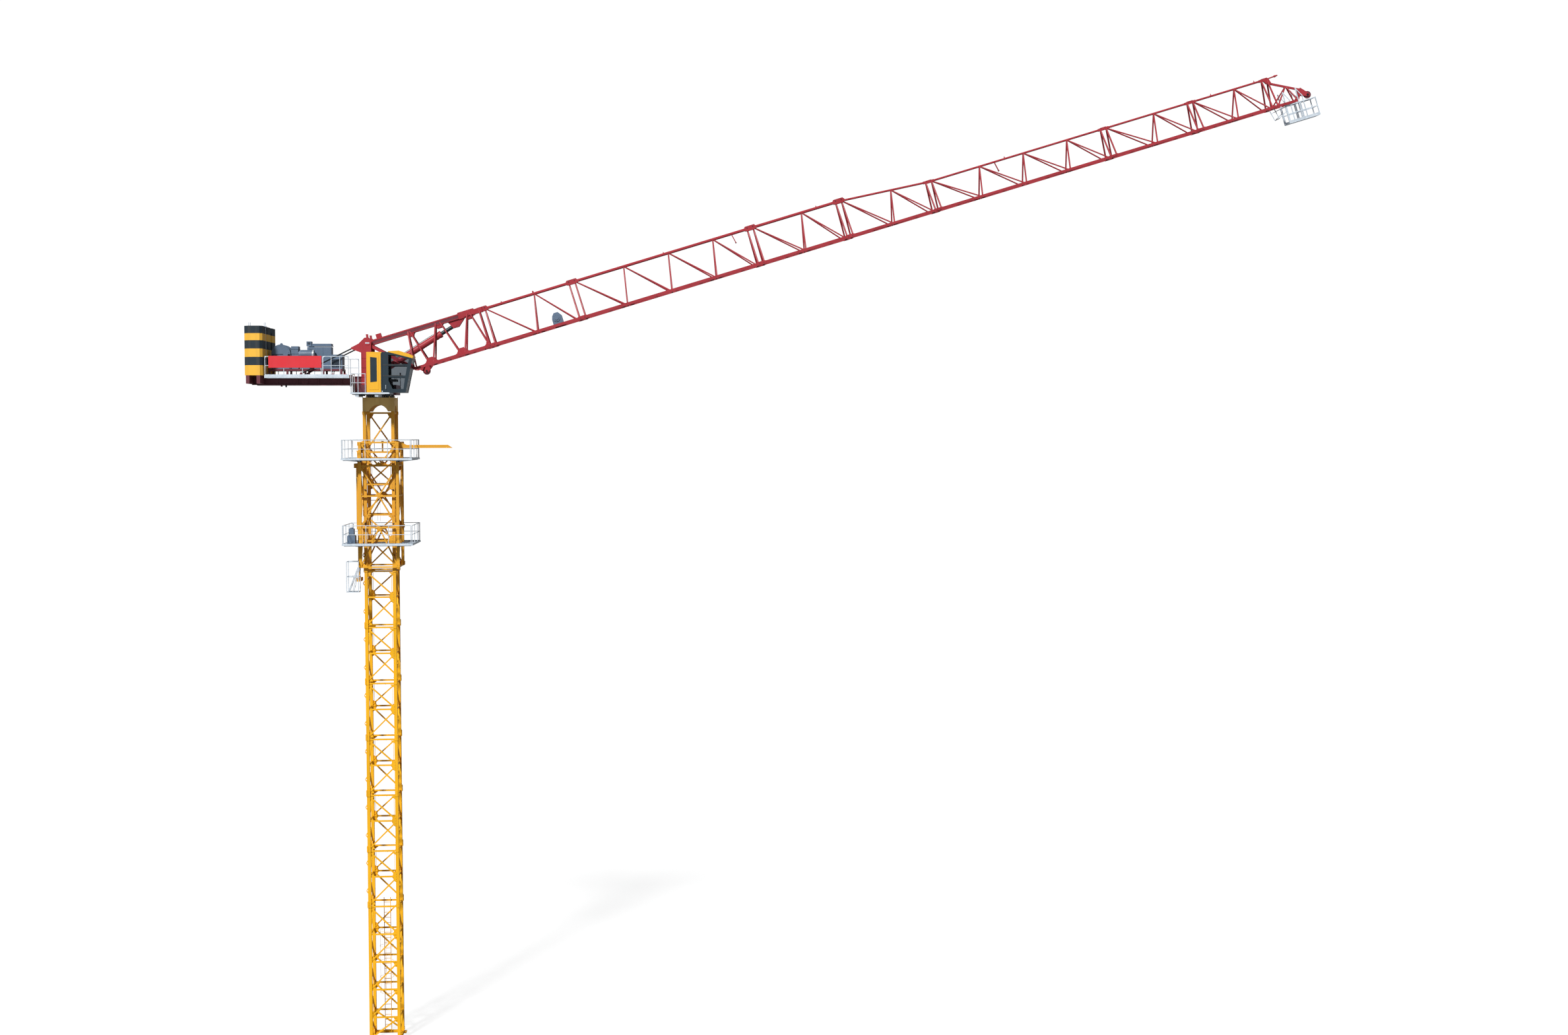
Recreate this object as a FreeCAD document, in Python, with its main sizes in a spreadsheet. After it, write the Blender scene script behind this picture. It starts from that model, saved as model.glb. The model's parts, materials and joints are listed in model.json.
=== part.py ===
"""Luffing tower crane with a hydraulic cylinder, a model at half the real size, in millimetres.

The origin is on the underside of the base ring at the mast's centre line. X runs along the jib,
Y across the crane and Z up. The jib is drawn level in its own frame, with its hinge at the origin,
and its Placement turns it to the rest angle. The other moving pieces are made the same way.
"""
import math
import os
import re

import FreeCAD
import Part
from FreeCAD import Placement, Rotation, Vector

doc = FreeCAD.newDocument("TowerCrane")
sheet = doc.addObject("Spreadsheet::Sheet", "Sizes")

# Driving dimensions. Each is written once and has a word as its alias.
SIZES = {
    # mast
    "mast_width": 826,
    "leg_size": 84,
    "base_height": 3700,
    "base_panels": 5,
    "section_height": 1500,
    "section_count": 8,
    "face_strut": 40,
    "face_brace": 36,
    "gusset_size": 130,
    "gusset_thick": 12,
    "sleeve_wall": 9,
    "sleeve_height": 85,
    "ear_reach": 46,
    "ear_height": 130,
    "ear_thick": 20,
    "solid_gap": 0.3,
    # base ring
    "foot_size": 210,
    "foot_thick": 24,
    "ring_height": 70,
    "ring_bar": 60,
    "anchor_hole": 22,
    "anchor_pitch": 150,
    # ladder
    "ladder_width": 170,
    "ladder_tube": 16,
    "ladder_gap": 50,
    "rung_pitch": 140,
    # transition piece and slewing pedestal
    "transition_height": 1185,
    "lug_height": 400,
    "pedestal_height": 365,
    "pedestal_plate": 20,
    "arch_radius": 265,
    "ring_radius": 370,
    "ring_thick": 75,
    # climbing cage
    "cage_clearance": 42.5,
    "cage_leg": 74,
    "cage_lift": 380,
    "cage_height": 3340,
    "deck_reach": 395,
    "deck_thick": 36,
    "upper_deck_rise": 2860,
    "lower_deck_rise": 610,
    "rail_height": 500,
    "rail_tube": 18,
    "climb_bore": 60,
    "climb_reach": 600,
    "beam_reach": 1900,
    "beam_depth": 85,
    "beam_width": 60,
    "beam_below": 85,
    # turntable, column and counter-jib
    "turntable_back": 675,
    "turntable_length": 1150,
    "turntable_width": 860,
    "turntable_height": 260,
    "running_gap": 0.3,
    "column_front": -180,
    "column_depth": 260,
    "column_plate": 60,
    "column_pitch": 700,
    "hinge_back": -275,
    "hinge_rise": 1105,
    "hinge_pin": 90,
    "girder_height": 225,
    "girder_width": 90,
    "girder_pitch": 700,
    "counter_reach": 3380,
    "walk_width": 560,
    "walk_thick": 70,
    "walk_reach": 2860,
    "weight_length": 475,
    "weight_width": 590,
    "weight_pitch": 675,
    "weight_height": 1290,
    "weight_chamfer": 130,
    "stay_bar": 34,
    # machinery
    "frame_pitch": 560,
    "frame_bar": 50,
    "frame_height": 200,
    "drum_radius": 170,
    "drum_flange": 222,
    "drum_width": 460,
    "drum_place": -2550,
    "drum_axle": 36,
    "drum_rise": 390,
    "hood_radius": 250,
    # cab
    "cab_back": -195,
    "cab_length": 1190,
    "cab_width": 640,
    "cab_height": 1060,
    "cab_wall": 24,
    "cab_side": -1180,
    "cab_rise": 40,
    # jib
    "rest_angle": 17,
    "jib_width": 600,
    "jib_height": 1000,
    "root_chord": 220,
    "root_depth": 130,
    "chord_tube": 76,
    "lower_chord": 72,
    "outer_top_chord": 54,
    "outer_lower_chord": 62,
    "web_tube": 36,
    "post_tube": 44,
    "panel_length": 1250,
    "root_length": 3125,
    "long_section": 5000,
    "short_section": 2500,
    "end_section": 2150,
    "taper_drop": 200,
    "head_length": 1120,
    "nose_drop": 660,
    "finial_length": 390,
    # luffing cylinder
    "cylinder_bore": 170,
    "rod_size": 105,
    "cylinder_back": -185,
    "cylinder_rise": 220,
    "eye_along": 2325,
    "eye_below": 190,
    "barrel_length": 2150,
    "eye_radius": 72,
    "eye_pin": 64,
    "eye_width": 110,
    "cheek_gap": 6,
    # sheaves
    "sheave_radius": 100,
    "sheave_width": 40,
    # seats, plates and clearances
    "yoke_drop": 380,
    "yoke_width": 500,
    "basket_deep": 330,
    "basket_wide": 340,
    "basket_hang": 640,
    "pin_clearance": 0.3,
    "bracket_plate": 20,
    "cheek_plate": 20,
    "side_gap": 6,
    "hinge_gap": 5,
    "stay_lug": 230,
    "stay_rise": 970,
    "stay_foot": -2010,
    "stay_lift": 75,
    "weight_seat": 15,
    "frame_front": 950,
    "service_gap": 10,
    "sheet_metal": 12,
    "gearbox_length": 185,
    "gearbox_width": 300,
    "gearbox_height": 600,
    "motor_radius": 120,
    "motor_length": 340,
    "motor_rise": 385,
    "cabinet_front": 1275,
    "cabinet_length": 635,
    "cabinet_width": 285,
    "cabinet_height": 590,
    "unit_length": 310,
    "unit_width": 420,
    "unit_height": 375,
    "sign_length": 1365,
    "sign_height": 310,
    "sign_back": 2750,
    "sign_rise": 210,
    "platform_back": 610,
    "platform_front": 400,
    "platform_margin": 60,
    "glass_thick": 8,
    "seat_size": 230,
    "pack_length": 210,
    "pack_width": 260,
    "pack_height": 420,
    "joint_lug": 150,
    "post_lean": 200,
    "basket_start": 280,
    "basket_length": 893,
    "basket_width": 440,
    "basket_drop": 530,
    "sheave_pin": 40,
    "winch_length": 280,
    "winch_height": 330,
}
for row, (alias, value) in enumerate(SIZES.items(), start=1):
    sheet.set(f"A{row}", alias)
    sheet.set(f"B{row}", str(value))
    sheet.setAlias(f"B{row}", alias)
doc.recompute()

sub_parts = []


class Sheet:
    """Reads the sheet's values by name, so that a size is taken as s.mast_width."""

    def __getattr__(self, alias):
        return float(getattr(sheet, alias))


s = Sheet()


# ---------------------------------------------------------------- levels and places that follow from the sizes

mast_pitch = s.mast_width - s.leg_size
cage_pitch = s.mast_width + 2 * s.cage_clearance + s.cage_leg
cage_strut_face = (cage_pitch + s.face_strut) / 2 + s.solid_gap
deck_size = cage_pitch + s.cage_leg + 2 * s.deck_reach
mast_top = s.base_height + s.section_count * s.section_height
cage_bottom = mast_top + s.cage_lift - s.cage_height
pedestal_foot = mast_top + s.transition_height
ring_foot = pedestal_foot + s.pedestal_height
turntable_foot = ring_foot + s.ring_thick + s.running_gap
turntable_top = turntable_foot + s.turntable_height
cab_floor = turntable_foot + s.cab_rise
girder_top = turntable_top + s.girder_height
frame_top = girder_top + s.frame_height
drum_level = frame_top + s.drum_rise
stay_level = turntable_top + s.stay_rise
hinge_height = turntable_top + s.hinge_rise
cylinder_height = turntable_top + s.cylinder_rise

# The same levels as formulas, for the objects that are bound to the sheet.
MAST_TOP = "(base_height+section_count*section_height)"
RING_FOOT = f"({MAST_TOP}+transition_height+pedestal_height)"
TURNTABLE_FOOT = f"({RING_FOOT}+ring_thick+running_gap)"
TURNTABLE_TOP = f"({TURNTABLE_FOOT}+turntable_height)"
FRAME_TOP = f"({TURNTABLE_TOP}+girder_height+frame_height)"
CAB_FLOOR = f"({TURNTABLE_FOOT}+cab_rise)"
CAGE_BOTTOM = f"({MAST_TOP}+cage_lift-cage_height)"
CAGE_PITCH = "(mast_width+2*cage_clearance+cage_leg)"
DECK_SIZE = f"({CAGE_PITCH}+cage_leg+2*deck_reach)"


# ---------------------------------------------------------------- helpers for bound objects

def bind(obj, prop, text):
    """Bind a property to a formula in which every word is an alias of the sheet."""
    obj.setExpression(prop, re.sub(r"[a-z][a-z_0-9]*", lambda word: "Sizes." + word.group(), text))


def place(obj, at):
    """Bind the three coordinates of an object's place."""
    for axis, text in zip("xyz", at):
        bind(obj, f".Placement.Base.{axis}", text)


def box(name, lengths, corner):
    """A box with its lengths and its low corner bound to the sheet."""
    solid = doc.addObject("Part::Box", name)
    for prop, text in zip(("Length", "Width", "Height"), lengths):
        bind(solid, prop, text)
    place(solid, corner)
    return solid


TURN = {"x": Rotation(Vector(0, 1, 0), 90), "y": Rotation(Vector(1, 0, 0), -90), "z": Rotation()}


def rod(name, axis, radius, length, start):
    """A cylinder that runs from start along +X, +Y or +Z."""
    solid = doc.addObject("Part::Cylinder", name)
    solid.Placement = Placement(Vector(), TURN[axis])
    bind(solid, "Radius", radius)
    bind(solid, "Height", length)
    place(solid, start)
    return solid


def fuse(name, pieces):
    """One solid out of pieces that overlap."""
    joined = doc.addObject("Part::MultiFuse", name)
    joined.Shapes = pieces
    joined.Refine = True
    return joined


def cut(name, base, tool):
    """The base without the tool."""
    rest = doc.addObject("Part::Cut", name)
    rest.Base = base
    rest.Tool = tool
    rest.Refine = True
    return rest


def node(obj, label):
    """Give a sub-part its node name and list it for export."""
    obj.Label = label
    sub_parts.append(obj)
    return obj


def shape_node(label, shape, placement=None):
    """A sub-part whose shape is worked out by Part's functions from the sheet's sizes."""
    obj = doc.addObject("Part::Feature", label)
    obj.Shape = shape
    if placement is not None:
        obj.Placement = placement
    return node(obj, label)


# ---------------------------------------------------------------- helpers for lattices

def bar(start, end, width, normal, sides=4):
    """A straight prism of a few sides from start to end, one side square to the normal."""
    along = end - start
    across = along.cross(normal).normalize()
    upward = across.cross(along).normalize()
    radius = width / 2 / math.cos(math.pi / sides)
    corners = []
    for number in range(sides):
        angle = (2 * number + 1) * math.pi / sides
        corners.append(start + across * (radius * math.cos(angle)) + upward * (radius * math.sin(angle)))
    outline = Part.makePolygon(corners + corners[:1])
    return Part.Face(outline).extrude(along)


def block(low, high):
    """A box between two corners."""
    span = high - low
    return Part.makeBox(span.x, span.y, span.z, low)


def plate(points, thickness, normal):
    """A flat plate with its middle plane through the points."""
    shift = normal * (thickness / 2)
    outline = Part.makePolygon([point - shift for point in points + points[:1]])
    return Part.Face(outline).extrude(shift * 2)


def join(pieces):
    """One solid out of bars that cross."""
    return pieces[0].multiFuse(pieces[1:]).removeSplitter()


def turned(shape, degrees):
    """A copy turned about the mast's centre line."""
    copy = shape.copy()
    copy.rotate(Vector(), Vector(0, 0, 1), degrees)
    return copy


SIDE = Vector(0, 1, 0)


def railing(start, end, height, tube, posts):
    """A flat railing: posts, a top rail and a middle rail."""
    rise = Vector(0, 0, height - tube / 2)
    normal = (end - start).cross(rise).normalize()
    reach = (end - start).normalize() * (tube / 2)
    pieces = [bar(start + rise - reach, end + rise + reach, tube, normal, 8),
              bar(start + rise * 0.52, end + rise * 0.52, tube * 0.8, normal, 8)]
    for number in range(posts):
        foot = start + (end - start) * (number / (posts - 1))
        pieces.append(bar(foot, foot + rise, tube, normal, 8))
    return join(pieces)


# ---------------------------------------------------------------- mast

def face_lattice(clear, pitch, height, heights, leans, strut, brace, gusset):
    """The bracing of one mast face between its legs, in the plane y = 0, from z = 0 to height.

    heights are the struts' levels from the top down and leans the way each panel's brace falls.
    """
    half = pitch / 2
    pieces = [block(Vector(-half, -strut / 2, level - strut / 2), Vector(half, strut / 2, level + strut / 2))
              for level in heights]
    levels = heights + [0.0]
    for number, lean in enumerate(leans):
        top = levels[number] - strut * 0.9
        low = levels[number + 1] + strut * 0.9
        inner = clear / 2
        start = Vector(-inner * lean, 0, top - gusset * 0.1)
        end = Vector(inner * lean, 0, low + gusset * 0.1)
        pieces.append(bar(start, end, brace, SIDE))
        for corner, away in ((start, 1), (end, -1)):
            side = math.copysign(1, corner.x)
            level = levels[number] if away > 0 else levels[number + 1]
            pieces.append(plate([Vector(side * half, 0, level),
                                 Vector(side * (inner - gusset * 0.85), 0, level),
                                 Vector(side * (inner - gusset * 0.35), 0, level - away * gusset * 1.0),
                                 Vector(side * half, 0, level - away * gusset * 1.35)],
                                s.gusset_thick, SIDE))
    lattice = join(pieces)
    return lattice


def clipped(lattice, half_width, height):
    """A face lattice cut off square at both sides and at its foot."""
    deep = s.mast_width
    return lattice.common(block(Vector(-half_width, -deep, 0), Vector(half_width, deep, height)))


def tower_frame(width, leg, height, heights, leans, strut, brace, gusset, sleeves, ears):
    """A square tower piece: two side frames with their legs, and a front and a rear lattice."""
    pitch = width - leg
    clear = pitch - leg
    face = face_lattice(clear, pitch, height, heights, leans, strut, brace, gusset)
    front = clipped(face, clear / 2 - s.solid_gap, height)
    front.translate(Vector(0, -pitch / 2, 0))
    side_face = clipped(face, clear / 2 + leg / 4, height)
    side_face.translate(Vector(0, -pitch / 2, 0))
    legs = []
    for across in (-1, 1):
        centre = Vector(pitch / 2, across * pitch / 2, 0)
        pieces = [block(centre - Vector(leg / 2, leg / 2, 0), centre + Vector(leg / 2, leg / 2, height))]
        if sleeves:
            inner = clear / 2
            outer = width / 2 + s.sleeve_wall
            for foot in (0, height - s.sleeve_height):
                low, high = sorted((across * inner, across * outer))
                pieces.append(block(Vector(inner, low, foot), Vector(outer, high, foot + s.sleeve_height)))
        legs.append(join(pieces) if len(pieces) > 1 else pieces[0])
    right = join(legs + [turned(side_face, 90)])
    left = join([turned(leg_piece, 180) for leg_piece in legs] + [turned(side_face, 270)] + ears)
    return [left, right, front, turned(front, 180)]


def climbing_ear(level, across):
    """A lug with a hole on the back of a mast leg, where the climbing yoke hooks in."""
    back = -s.mast_width / 2
    lug = block(Vector(back - s.ear_reach * 0.45, across - s.ear_thick / 2, level - s.ear_height / 2),
                Vector(back + s.leg_size / 3, across + s.ear_thick / 2, level + s.ear_height / 2))
    nose = Part.makeCylinder(s.ear_height * 0.36, s.ear_thick,
                             Vector(back - s.ear_reach + s.ear_height * 0.36, across - s.ear_thick / 2, level),
                             SIDE)
    hole = Part.makeCylinder(s.ear_height * 0.13, s.ear_thick * 2,
                             Vector(back - s.ear_reach * 0.35, across - s.ear_thick, level), SIDE)
    return lug.fuse(nose).cut(hole)


def mast_section_shape():
    """A standard section: two panels, sleeves at its ends and climbing ears at its back."""
    pitch = mast_pitch
    ears = [climbing_ear(s.section_height * share, side * pitch / 2)
            for share in (0.75, 0.25) for side in (-1, 1)]
    levels = [s.section_height - s.face_strut * 1.4, s.section_height / 2]
    return Part.makeCompound(tower_frame(s.mast_width, s.leg_size, s.section_height, levels, [1, -1],
                                         s.face_strut, s.face_brace, s.gusset_size, True, ears))


def base_section_shape():
    """The fixed base piece, five panels high, which stands in the base ring."""
    height = s.base_height - s.ring_height
    panels = int(s.base_panels)
    panel = s.section_height / 2
    levels = [height - s.face_strut * 1.4 - number * panel for number in range(panels)]
    leans = [1] + [-1] * (panels - 1)
    return Part.makeCompound(tower_frame(s.mast_width, s.leg_size, height, levels, leans,
                                         s.face_strut, s.face_brace, s.gusset_size, True, []))


def base_ring():
    """The square ring with four drilled feet that carries the mast."""
    outer = box("RingOuter", ("mast_width", "mast_width", "ring_height"),
                ("-mast_width/2", "-mast_width/2", "0"))
    inner = box("RingInner", ("mast_width-2*ring_bar", "mast_width-2*ring_bar", "ring_height"),
                ("ring_bar-mast_width/2", "ring_bar-mast_width/2", "0"))
    pieces = [cut("RingFrame", outer, inner)]
    holes = []
    for across in "+-":
        for side in "+-":
            name = f"Foot{len(pieces)}"
            centre = (f"{across}(mast_width-leg_size)/2", f"{side}(mast_width-leg_size)/2")
            pieces.append(box(name, ("foot_size", "foot_size", "foot_thick"),
                              (centre[0] + "-foot_size/2", centre[1] + "-foot_size/2", "0")))
            for hole_x in "+-":
                for hole_y in "+-":
                    holes.append(rod(f"Anchor{len(holes)}", "z", "anchor_hole/2", "foot_thick*2",
                                     (f"{centre[0]}{hole_x}anchor_pitch/2", f"{centre[1]}{hole_y}anchor_pitch/2",
                                      "-foot_thick/2")))
    frame = fuse("RingFused", pieces)
    return node(cut("BaseRing", frame, fuse("AnchorHoles", holes)), "base_ring")


def ladder_shape(bottom, top):
    """A ladder of two stiles with rungs, in front of the mast's rear face."""
    strut_face = (mast_pitch - s.face_strut) / 2 - s.solid_gap
    back = strut_face - s.ladder_gap
    half = s.ladder_width / 2
    pieces = [bar(Vector(side * half, back, bottom), Vector(side * half, back, top), s.ladder_tube, SIDE)
              for side in (-1, 1)]
    count = int((top - bottom) / s.rung_pitch)
    for number in range(count):
        level = bottom + s.rung_pitch * (number + 0.5)
        pieces.append(bar(Vector(-half, back, level), Vector(half, back, level), s.ladder_tube * 0.7, SIDE))
    panel = s.section_height / 2
    for number in range(int(s.base_panels)):
        strut_level = s.base_height - s.face_strut * 1.4 - number * panel
        for side in (-1, 1):
            pieces.append(bar(Vector(side * half, back, strut_level),
                              Vector(side * half, strut_face, strut_level), s.ladder_tube, Vector(0, 0, 1)))
    return join(pieces)


def transition_shape():
    """The short piece between the top mast section and the slewing pedestal, with lugs at its foot."""
    height = s.transition_height
    pitch = mast_pitch
    frames = tower_frame(s.mast_width, s.leg_size, height, [height - s.face_strut, s.face_strut * 2.6], [-1],
                         s.face_strut, s.face_brace, s.gusset_size, True, [])
    edge = s.mast_width / 2
    reach = cage_pitch / 2 - s.face_strut / 2 - s.solid_gap
    lugs = []
    for across in (-1, 1):
        place_y = across * pitch / 2
        lug = plate([Vector(edge - s.leg_size / 2, place_y, s.sleeve_height),
                     Vector(reach, place_y, s.sleeve_height),
                     Vector(reach, place_y, s.lug_height * 0.93),
                     Vector((edge + reach) / 2, place_y, s.lug_height),
                     Vector(edge - s.leg_size / 2, place_y, s.lug_height)], s.gusset_thick * 2, SIDE)
        spot = Vector((edge + reach) / 2, place_y - s.mast_width / 2, s.sleeve_height * 1.6)
        hole = Part.makeCylinder(s.anchor_hole * 0.6, s.mast_width, spot, SIDE)
        lugs.append(lug.cut(hole))
    left, right, front, rear = frames
    right = join([right] + lugs)
    left = join([left] + [turned(lug, 180) for lug in lugs])
    return Part.makeCompound([left, right, front, rear])


def pedestal_shape():
    """The slewing pedestal: a square box with an arch in each face and a plate on top."""
    half = s.mast_width / 2
    height = s.pedestal_height
    wall = s.pedestal_plate
    body = block(Vector(-half, -half, 0), Vector(half, half, height))
    hollow = block(Vector(wall - half, wall - half, -1), Vector(half - wall, half - wall, height - wall))
    arch = Part.makeCylinder(s.arch_radius, s.mast_width * 2,
                             Vector(0, -s.mast_width, -s.arch_radius * 0.35), SIDE)
    well = Part.makeCylinder(s.ring_radius * 0.62, height * 3, Vector(0, 0, -height))
    shell = body.cut(hollow).cut(arch).cut(turned(arch, 90)).cut(well)
    legs = []
    for across in (-1, 1):
        for side in (-1, 1):
            centre = Vector(side * (half - s.leg_size / 2), across * (half - s.leg_size / 2), 0)
            legs.append(block(centre - Vector(s.leg_size / 2, s.leg_size / 2, 0),
                              centre + Vector(s.leg_size / 2, s.leg_size / 2, height - wall / 2)))
    return join([shell] + legs)


# ---------------------------------------------------------------- climbing cage

def cage_shape():
    """The climbing cage: legs outside the mast, a V in its top panel, an X and an inverted V below."""
    pitch = cage_pitch
    leg = s.cage_leg
    height = s.cage_height
    strut = s.face_strut
    half = pitch / 2
    levels = [height - strut / 2, height * 0.81, height * 0.57, height * 0.32, strut / 2]

    def face():
        pieces = [block(Vector(-half, -strut / 2, level - strut / 2),
                        Vector(half, strut / 2, level + strut / 2)) for level in levels]
        for side in (-1, 1):
            edge = side * half
            pieces.append(bar(Vector(edge, 0, levels[0]), Vector(0, 0, levels[1]), s.face_brace, SIDE))
            pieces.append(bar(Vector(edge, 0, levels[1]), Vector(0, 0, levels[2]), s.face_brace, SIDE))
            pieces.append(bar(Vector(edge, 0, levels[3]), Vector(0, 0, levels[2]), s.face_brace, SIDE))
            pieces.append(bar(Vector(0, 0, levels[3]), Vector(edge, 0, levels[4]), s.face_brace, SIDE))
            for level in (levels[0], levels[1], levels[3], levels[4]):
                away = 1 if level in (levels[3], levels[4]) else -1
                corner = s.gusset_size * 1.4
                pieces.append(plate([Vector(edge, 0, level), Vector(edge - side * corner, 0, level),
                                     Vector(edge, 0, level + away * corner)], s.gusset_thick, SIDE))
        for level in (levels[1], levels[2], levels[3]):
            away = -1 if level == levels[3] else 1
            pieces.append(plate([Vector(-s.gusset_size, 0, level), Vector(s.gusset_size, 0, level),
                                 Vector(0, 0, level + away * s.gusset_size * 0.8)], s.gusset_thick, SIDE))
        return join(pieces)

    lattice = face()
    clear = pitch - leg
    front = clipped(lattice, clear / 2 - s.solid_gap, height)
    front.translate(Vector(0, -half, 0))
    side_face = clipped(lattice, clear / 2 + leg / 4, height)
    side_face.translate(Vector(0, -half, 0))
    legs = []
    for across in (-1, 1):
        centre = Vector(half, across * half, 0)
        legs.append(block(centre - Vector(leg / 2, leg / 2, 0), centre + Vector(leg / 2, leg / 2, height)))
    right = join(legs + [turned(side_face, 90)])
    left = turned(right, 180)
    return Part.makeCompound([left, right, front, turned(front, 180)])


def platform_shape():
    """A square deck round the cage, in four strips, with a notch at its back for the climbing cylinder."""
    half = deck_size / 2
    inner = (cage_pitch + s.cage_leg) / 2 + s.solid_gap
    strips = []
    for side in (-1, 1):
        strips.append(block(Vector(-half, min(side * inner, side * half), 0),
                            Vector(half, max(side * inner, side * half), s.deck_thick)))
    reach = inner - s.solid_gap
    strips.append(block(Vector(inner, -reach, 0), Vector(half, reach, s.deck_thick)))
    back = block(Vector(-half, -reach, 0), Vector(-inner, reach, s.deck_thick))
    notch = block(Vector(-s.climb_reach - s.climb_bore, -s.climb_bore * 1.5, -1),
                  Vector(-inner + 1, s.climb_bore * 1.5, s.deck_thick + 1))
    strips.append(back.cut(notch))
    return Part.makeCompound(strips)


def platform_railing_shape():
    """Four flat railings that stand on a platform's edges."""
    half = deck_size / 2 - s.rail_tube
    gap = s.rail_tube * 1.5
    sides = []
    for quarter in range(4):
        rail = railing(Vector(-half + gap, -half, 0), Vector(half - gap, -half, 0),
                       s.rail_height, s.rail_tube, 4)
        sides.append(turned(rail, 90 * quarter))
    return Part.makeCompound(sides)


def access_basket_shape():
    """The small galvanised basket that hangs behind the cage's foot, beside the yoke."""
    front = -(cage_pitch + s.cage_leg) / 2 - s.solid_gap
    back = front - s.basket_deep
    far = -s.yoke_width / 2 - s.rail_tube * 2
    near = far - s.basket_wide
    tube_width = s.rail_tube
    low = -s.basket_hang
    high = s.basket_hang * 0.28
    pieces = [block(Vector(back, near, low), Vector(front, far, low + s.sheet_metal))]
    half = tube_width / 2
    corners = [(front - half, near + half), (front - half, far - half),
               (back + half, far - half), (back + half, near + half)]
    for number, (x, y) in enumerate(corners):
        next_x, next_y = corners[(number + 1) % 4]
        pieces.append(bar(Vector(x, y, low + 1), Vector(x, y, high), tube_width, SIDE))
        for level in (high - half, (low + high) / 2):
            pieces.append(bar(Vector(x, y, level), Vector(next_x, next_y, level), tube_width,
                              Vector(0, 0, 1)))
    return join(pieces)


def climbing_cylinder_shape():
    """The climbing cylinder behind the cage, with its head bracket, rod and yoke."""
    reach = -s.climb_reach
    back_face = -cage_strut_face
    top = s.cage_height * 0.81
    barrel_foot = s.cage_height * 0.30
    barrel = Part.makeCylinder(s.climb_bore, top - barrel_foot, Vector(reach, 0, barrel_foot))
    rod_piece = Part.makeCylinder(s.climb_bore * 0.55, top + s.yoke_drop - s.climb_bore,
                                  Vector(reach, 0, s.climb_bore - s.yoke_drop))
    head = block(Vector(reach - s.climb_bore * 1.2, -cage_pitch * 0.32, top - s.climb_bore),
                 Vector(back_face, cage_pitch * 0.32, top + s.climb_bore))
    yoke = block(Vector(reach - s.climb_bore, -s.yoke_width / 2, -s.yoke_drop),
                 Vector(reach + s.climb_bore, s.yoke_width / 2, s.climb_bore * 1.5 - s.yoke_drop))
    return join([barrel, rod_piece, head, yoke])


def monorail_shape():
    """The beam that carries new sections in: a bracket at the cage's top strut, and a pointed end."""
    start = (cage_pitch + s.face_strut) / 2 + s.solid_gap
    over = s.cage_height - s.beam_below
    under = over - s.beam_depth
    return plate([Vector(start, 0, under), Vector(s.beam_reach, 0, under),
                  Vector(s.beam_reach - s.beam_depth * 1.5, 0, over),
                  Vector(start + s.beam_depth * 2, 0, over), Vector(start, 0, s.cage_height)],
                 s.beam_width, SIDE)


# ---------------------------------------------------------------- turntable, column and counter-jib

def column_shape():
    """Two tall side plates with the jib's hinge eyes and the stay lugs, joined behind the cylinder."""
    front = s.column_front
    back = front - s.column_depth
    crown = hinge_height + s.hinge_pin * 1.6
    horn = crown + s.hinge_pin
    profile = [(back, turntable_top), (front, turntable_top), (front, hinge_height + s.hinge_pin * 0.6),
               (s.hinge_back + s.hinge_pin * 0.5, crown), (s.hinge_back + s.hinge_pin * 0.3, crown),
               (s.hinge_back + s.hinge_pin * 0.2, horn), (s.hinge_back - s.hinge_pin * 0.4, horn),
               (s.hinge_back - s.hinge_pin * 0.3, crown), (s.hinge_back - s.hinge_pin * 0.8, crown),
               (back - s.column_depth * 0.25, hinge_height - s.hinge_pin * 0.15),
               (back - s.stay_lug, stay_level + s.stay_bar),
               (back - s.stay_lug, stay_level - s.stay_bar),
               (back, stay_level - s.hinge_pin * 1.3)]
    plates = []
    for across in (-1, 1):
        place_y = across * s.column_pitch / 2
        side = plate([Vector(x, place_y, z) for x, z in profile], s.column_plate, SIDE)
        eye = Part.makeCylinder(s.hinge_pin / 2 + s.pin_clearance, s.column_plate * 2,
                                Vector(s.hinge_back, place_y - s.column_plate, hinge_height), SIDE)
        stay_eye = Part.makeCylinder(s.stay_bar, s.column_plate, Vector(back - s.stay_lug,
                                                                       place_y - s.column_plate / 2,
                                                                       stay_level), SIDE)
        plates.append(side.fuse(stay_eye).cut(eye))
    half = s.column_pitch / 2
    web = block(Vector(back, -half, turntable_top), Vector(back + s.column_plate / 2, half,
                                                            hinge_height - s.hinge_pin * 2.5))
    return join(plates + [web])


def turntable():
    """The turning platform with the cylinder's foot bracket and its pin."""
    half_bracket = "(eye_width/2+cheek_gap)"
    level = f"({TURNTABLE_TOP}+cylinder_rise)"
    slab = box("TurntableSlab", ("turntable_length", "turntable_width", "turntable_height"),
               ("-turntable_back", "-turntable_width/2", TURNTABLE_FOOT))
    pieces = [slab]
    for number, low in enumerate((f"-{half_bracket}-bracket_plate", half_bracket)):
        pieces.append(box(f"CylinderLug{number}", ("2*eye_radius", "bracket_plate",
                                                   "cylinder_rise+eye_radius+2*cheek_gap"),
                          ("cylinder_back-eye_radius", low, f"{TURNTABLE_TOP}-cheek_gap")))
    pieces.append(rod("CylinderPin", "y", "eye_pin/2", f"2*({half_bracket}+bracket_plate)",
                      ("cylinder_back", f"-{half_bracket}-bracket_plate", level)))
    return node(fuse("Turntable", pieces), "turntable")


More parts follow.
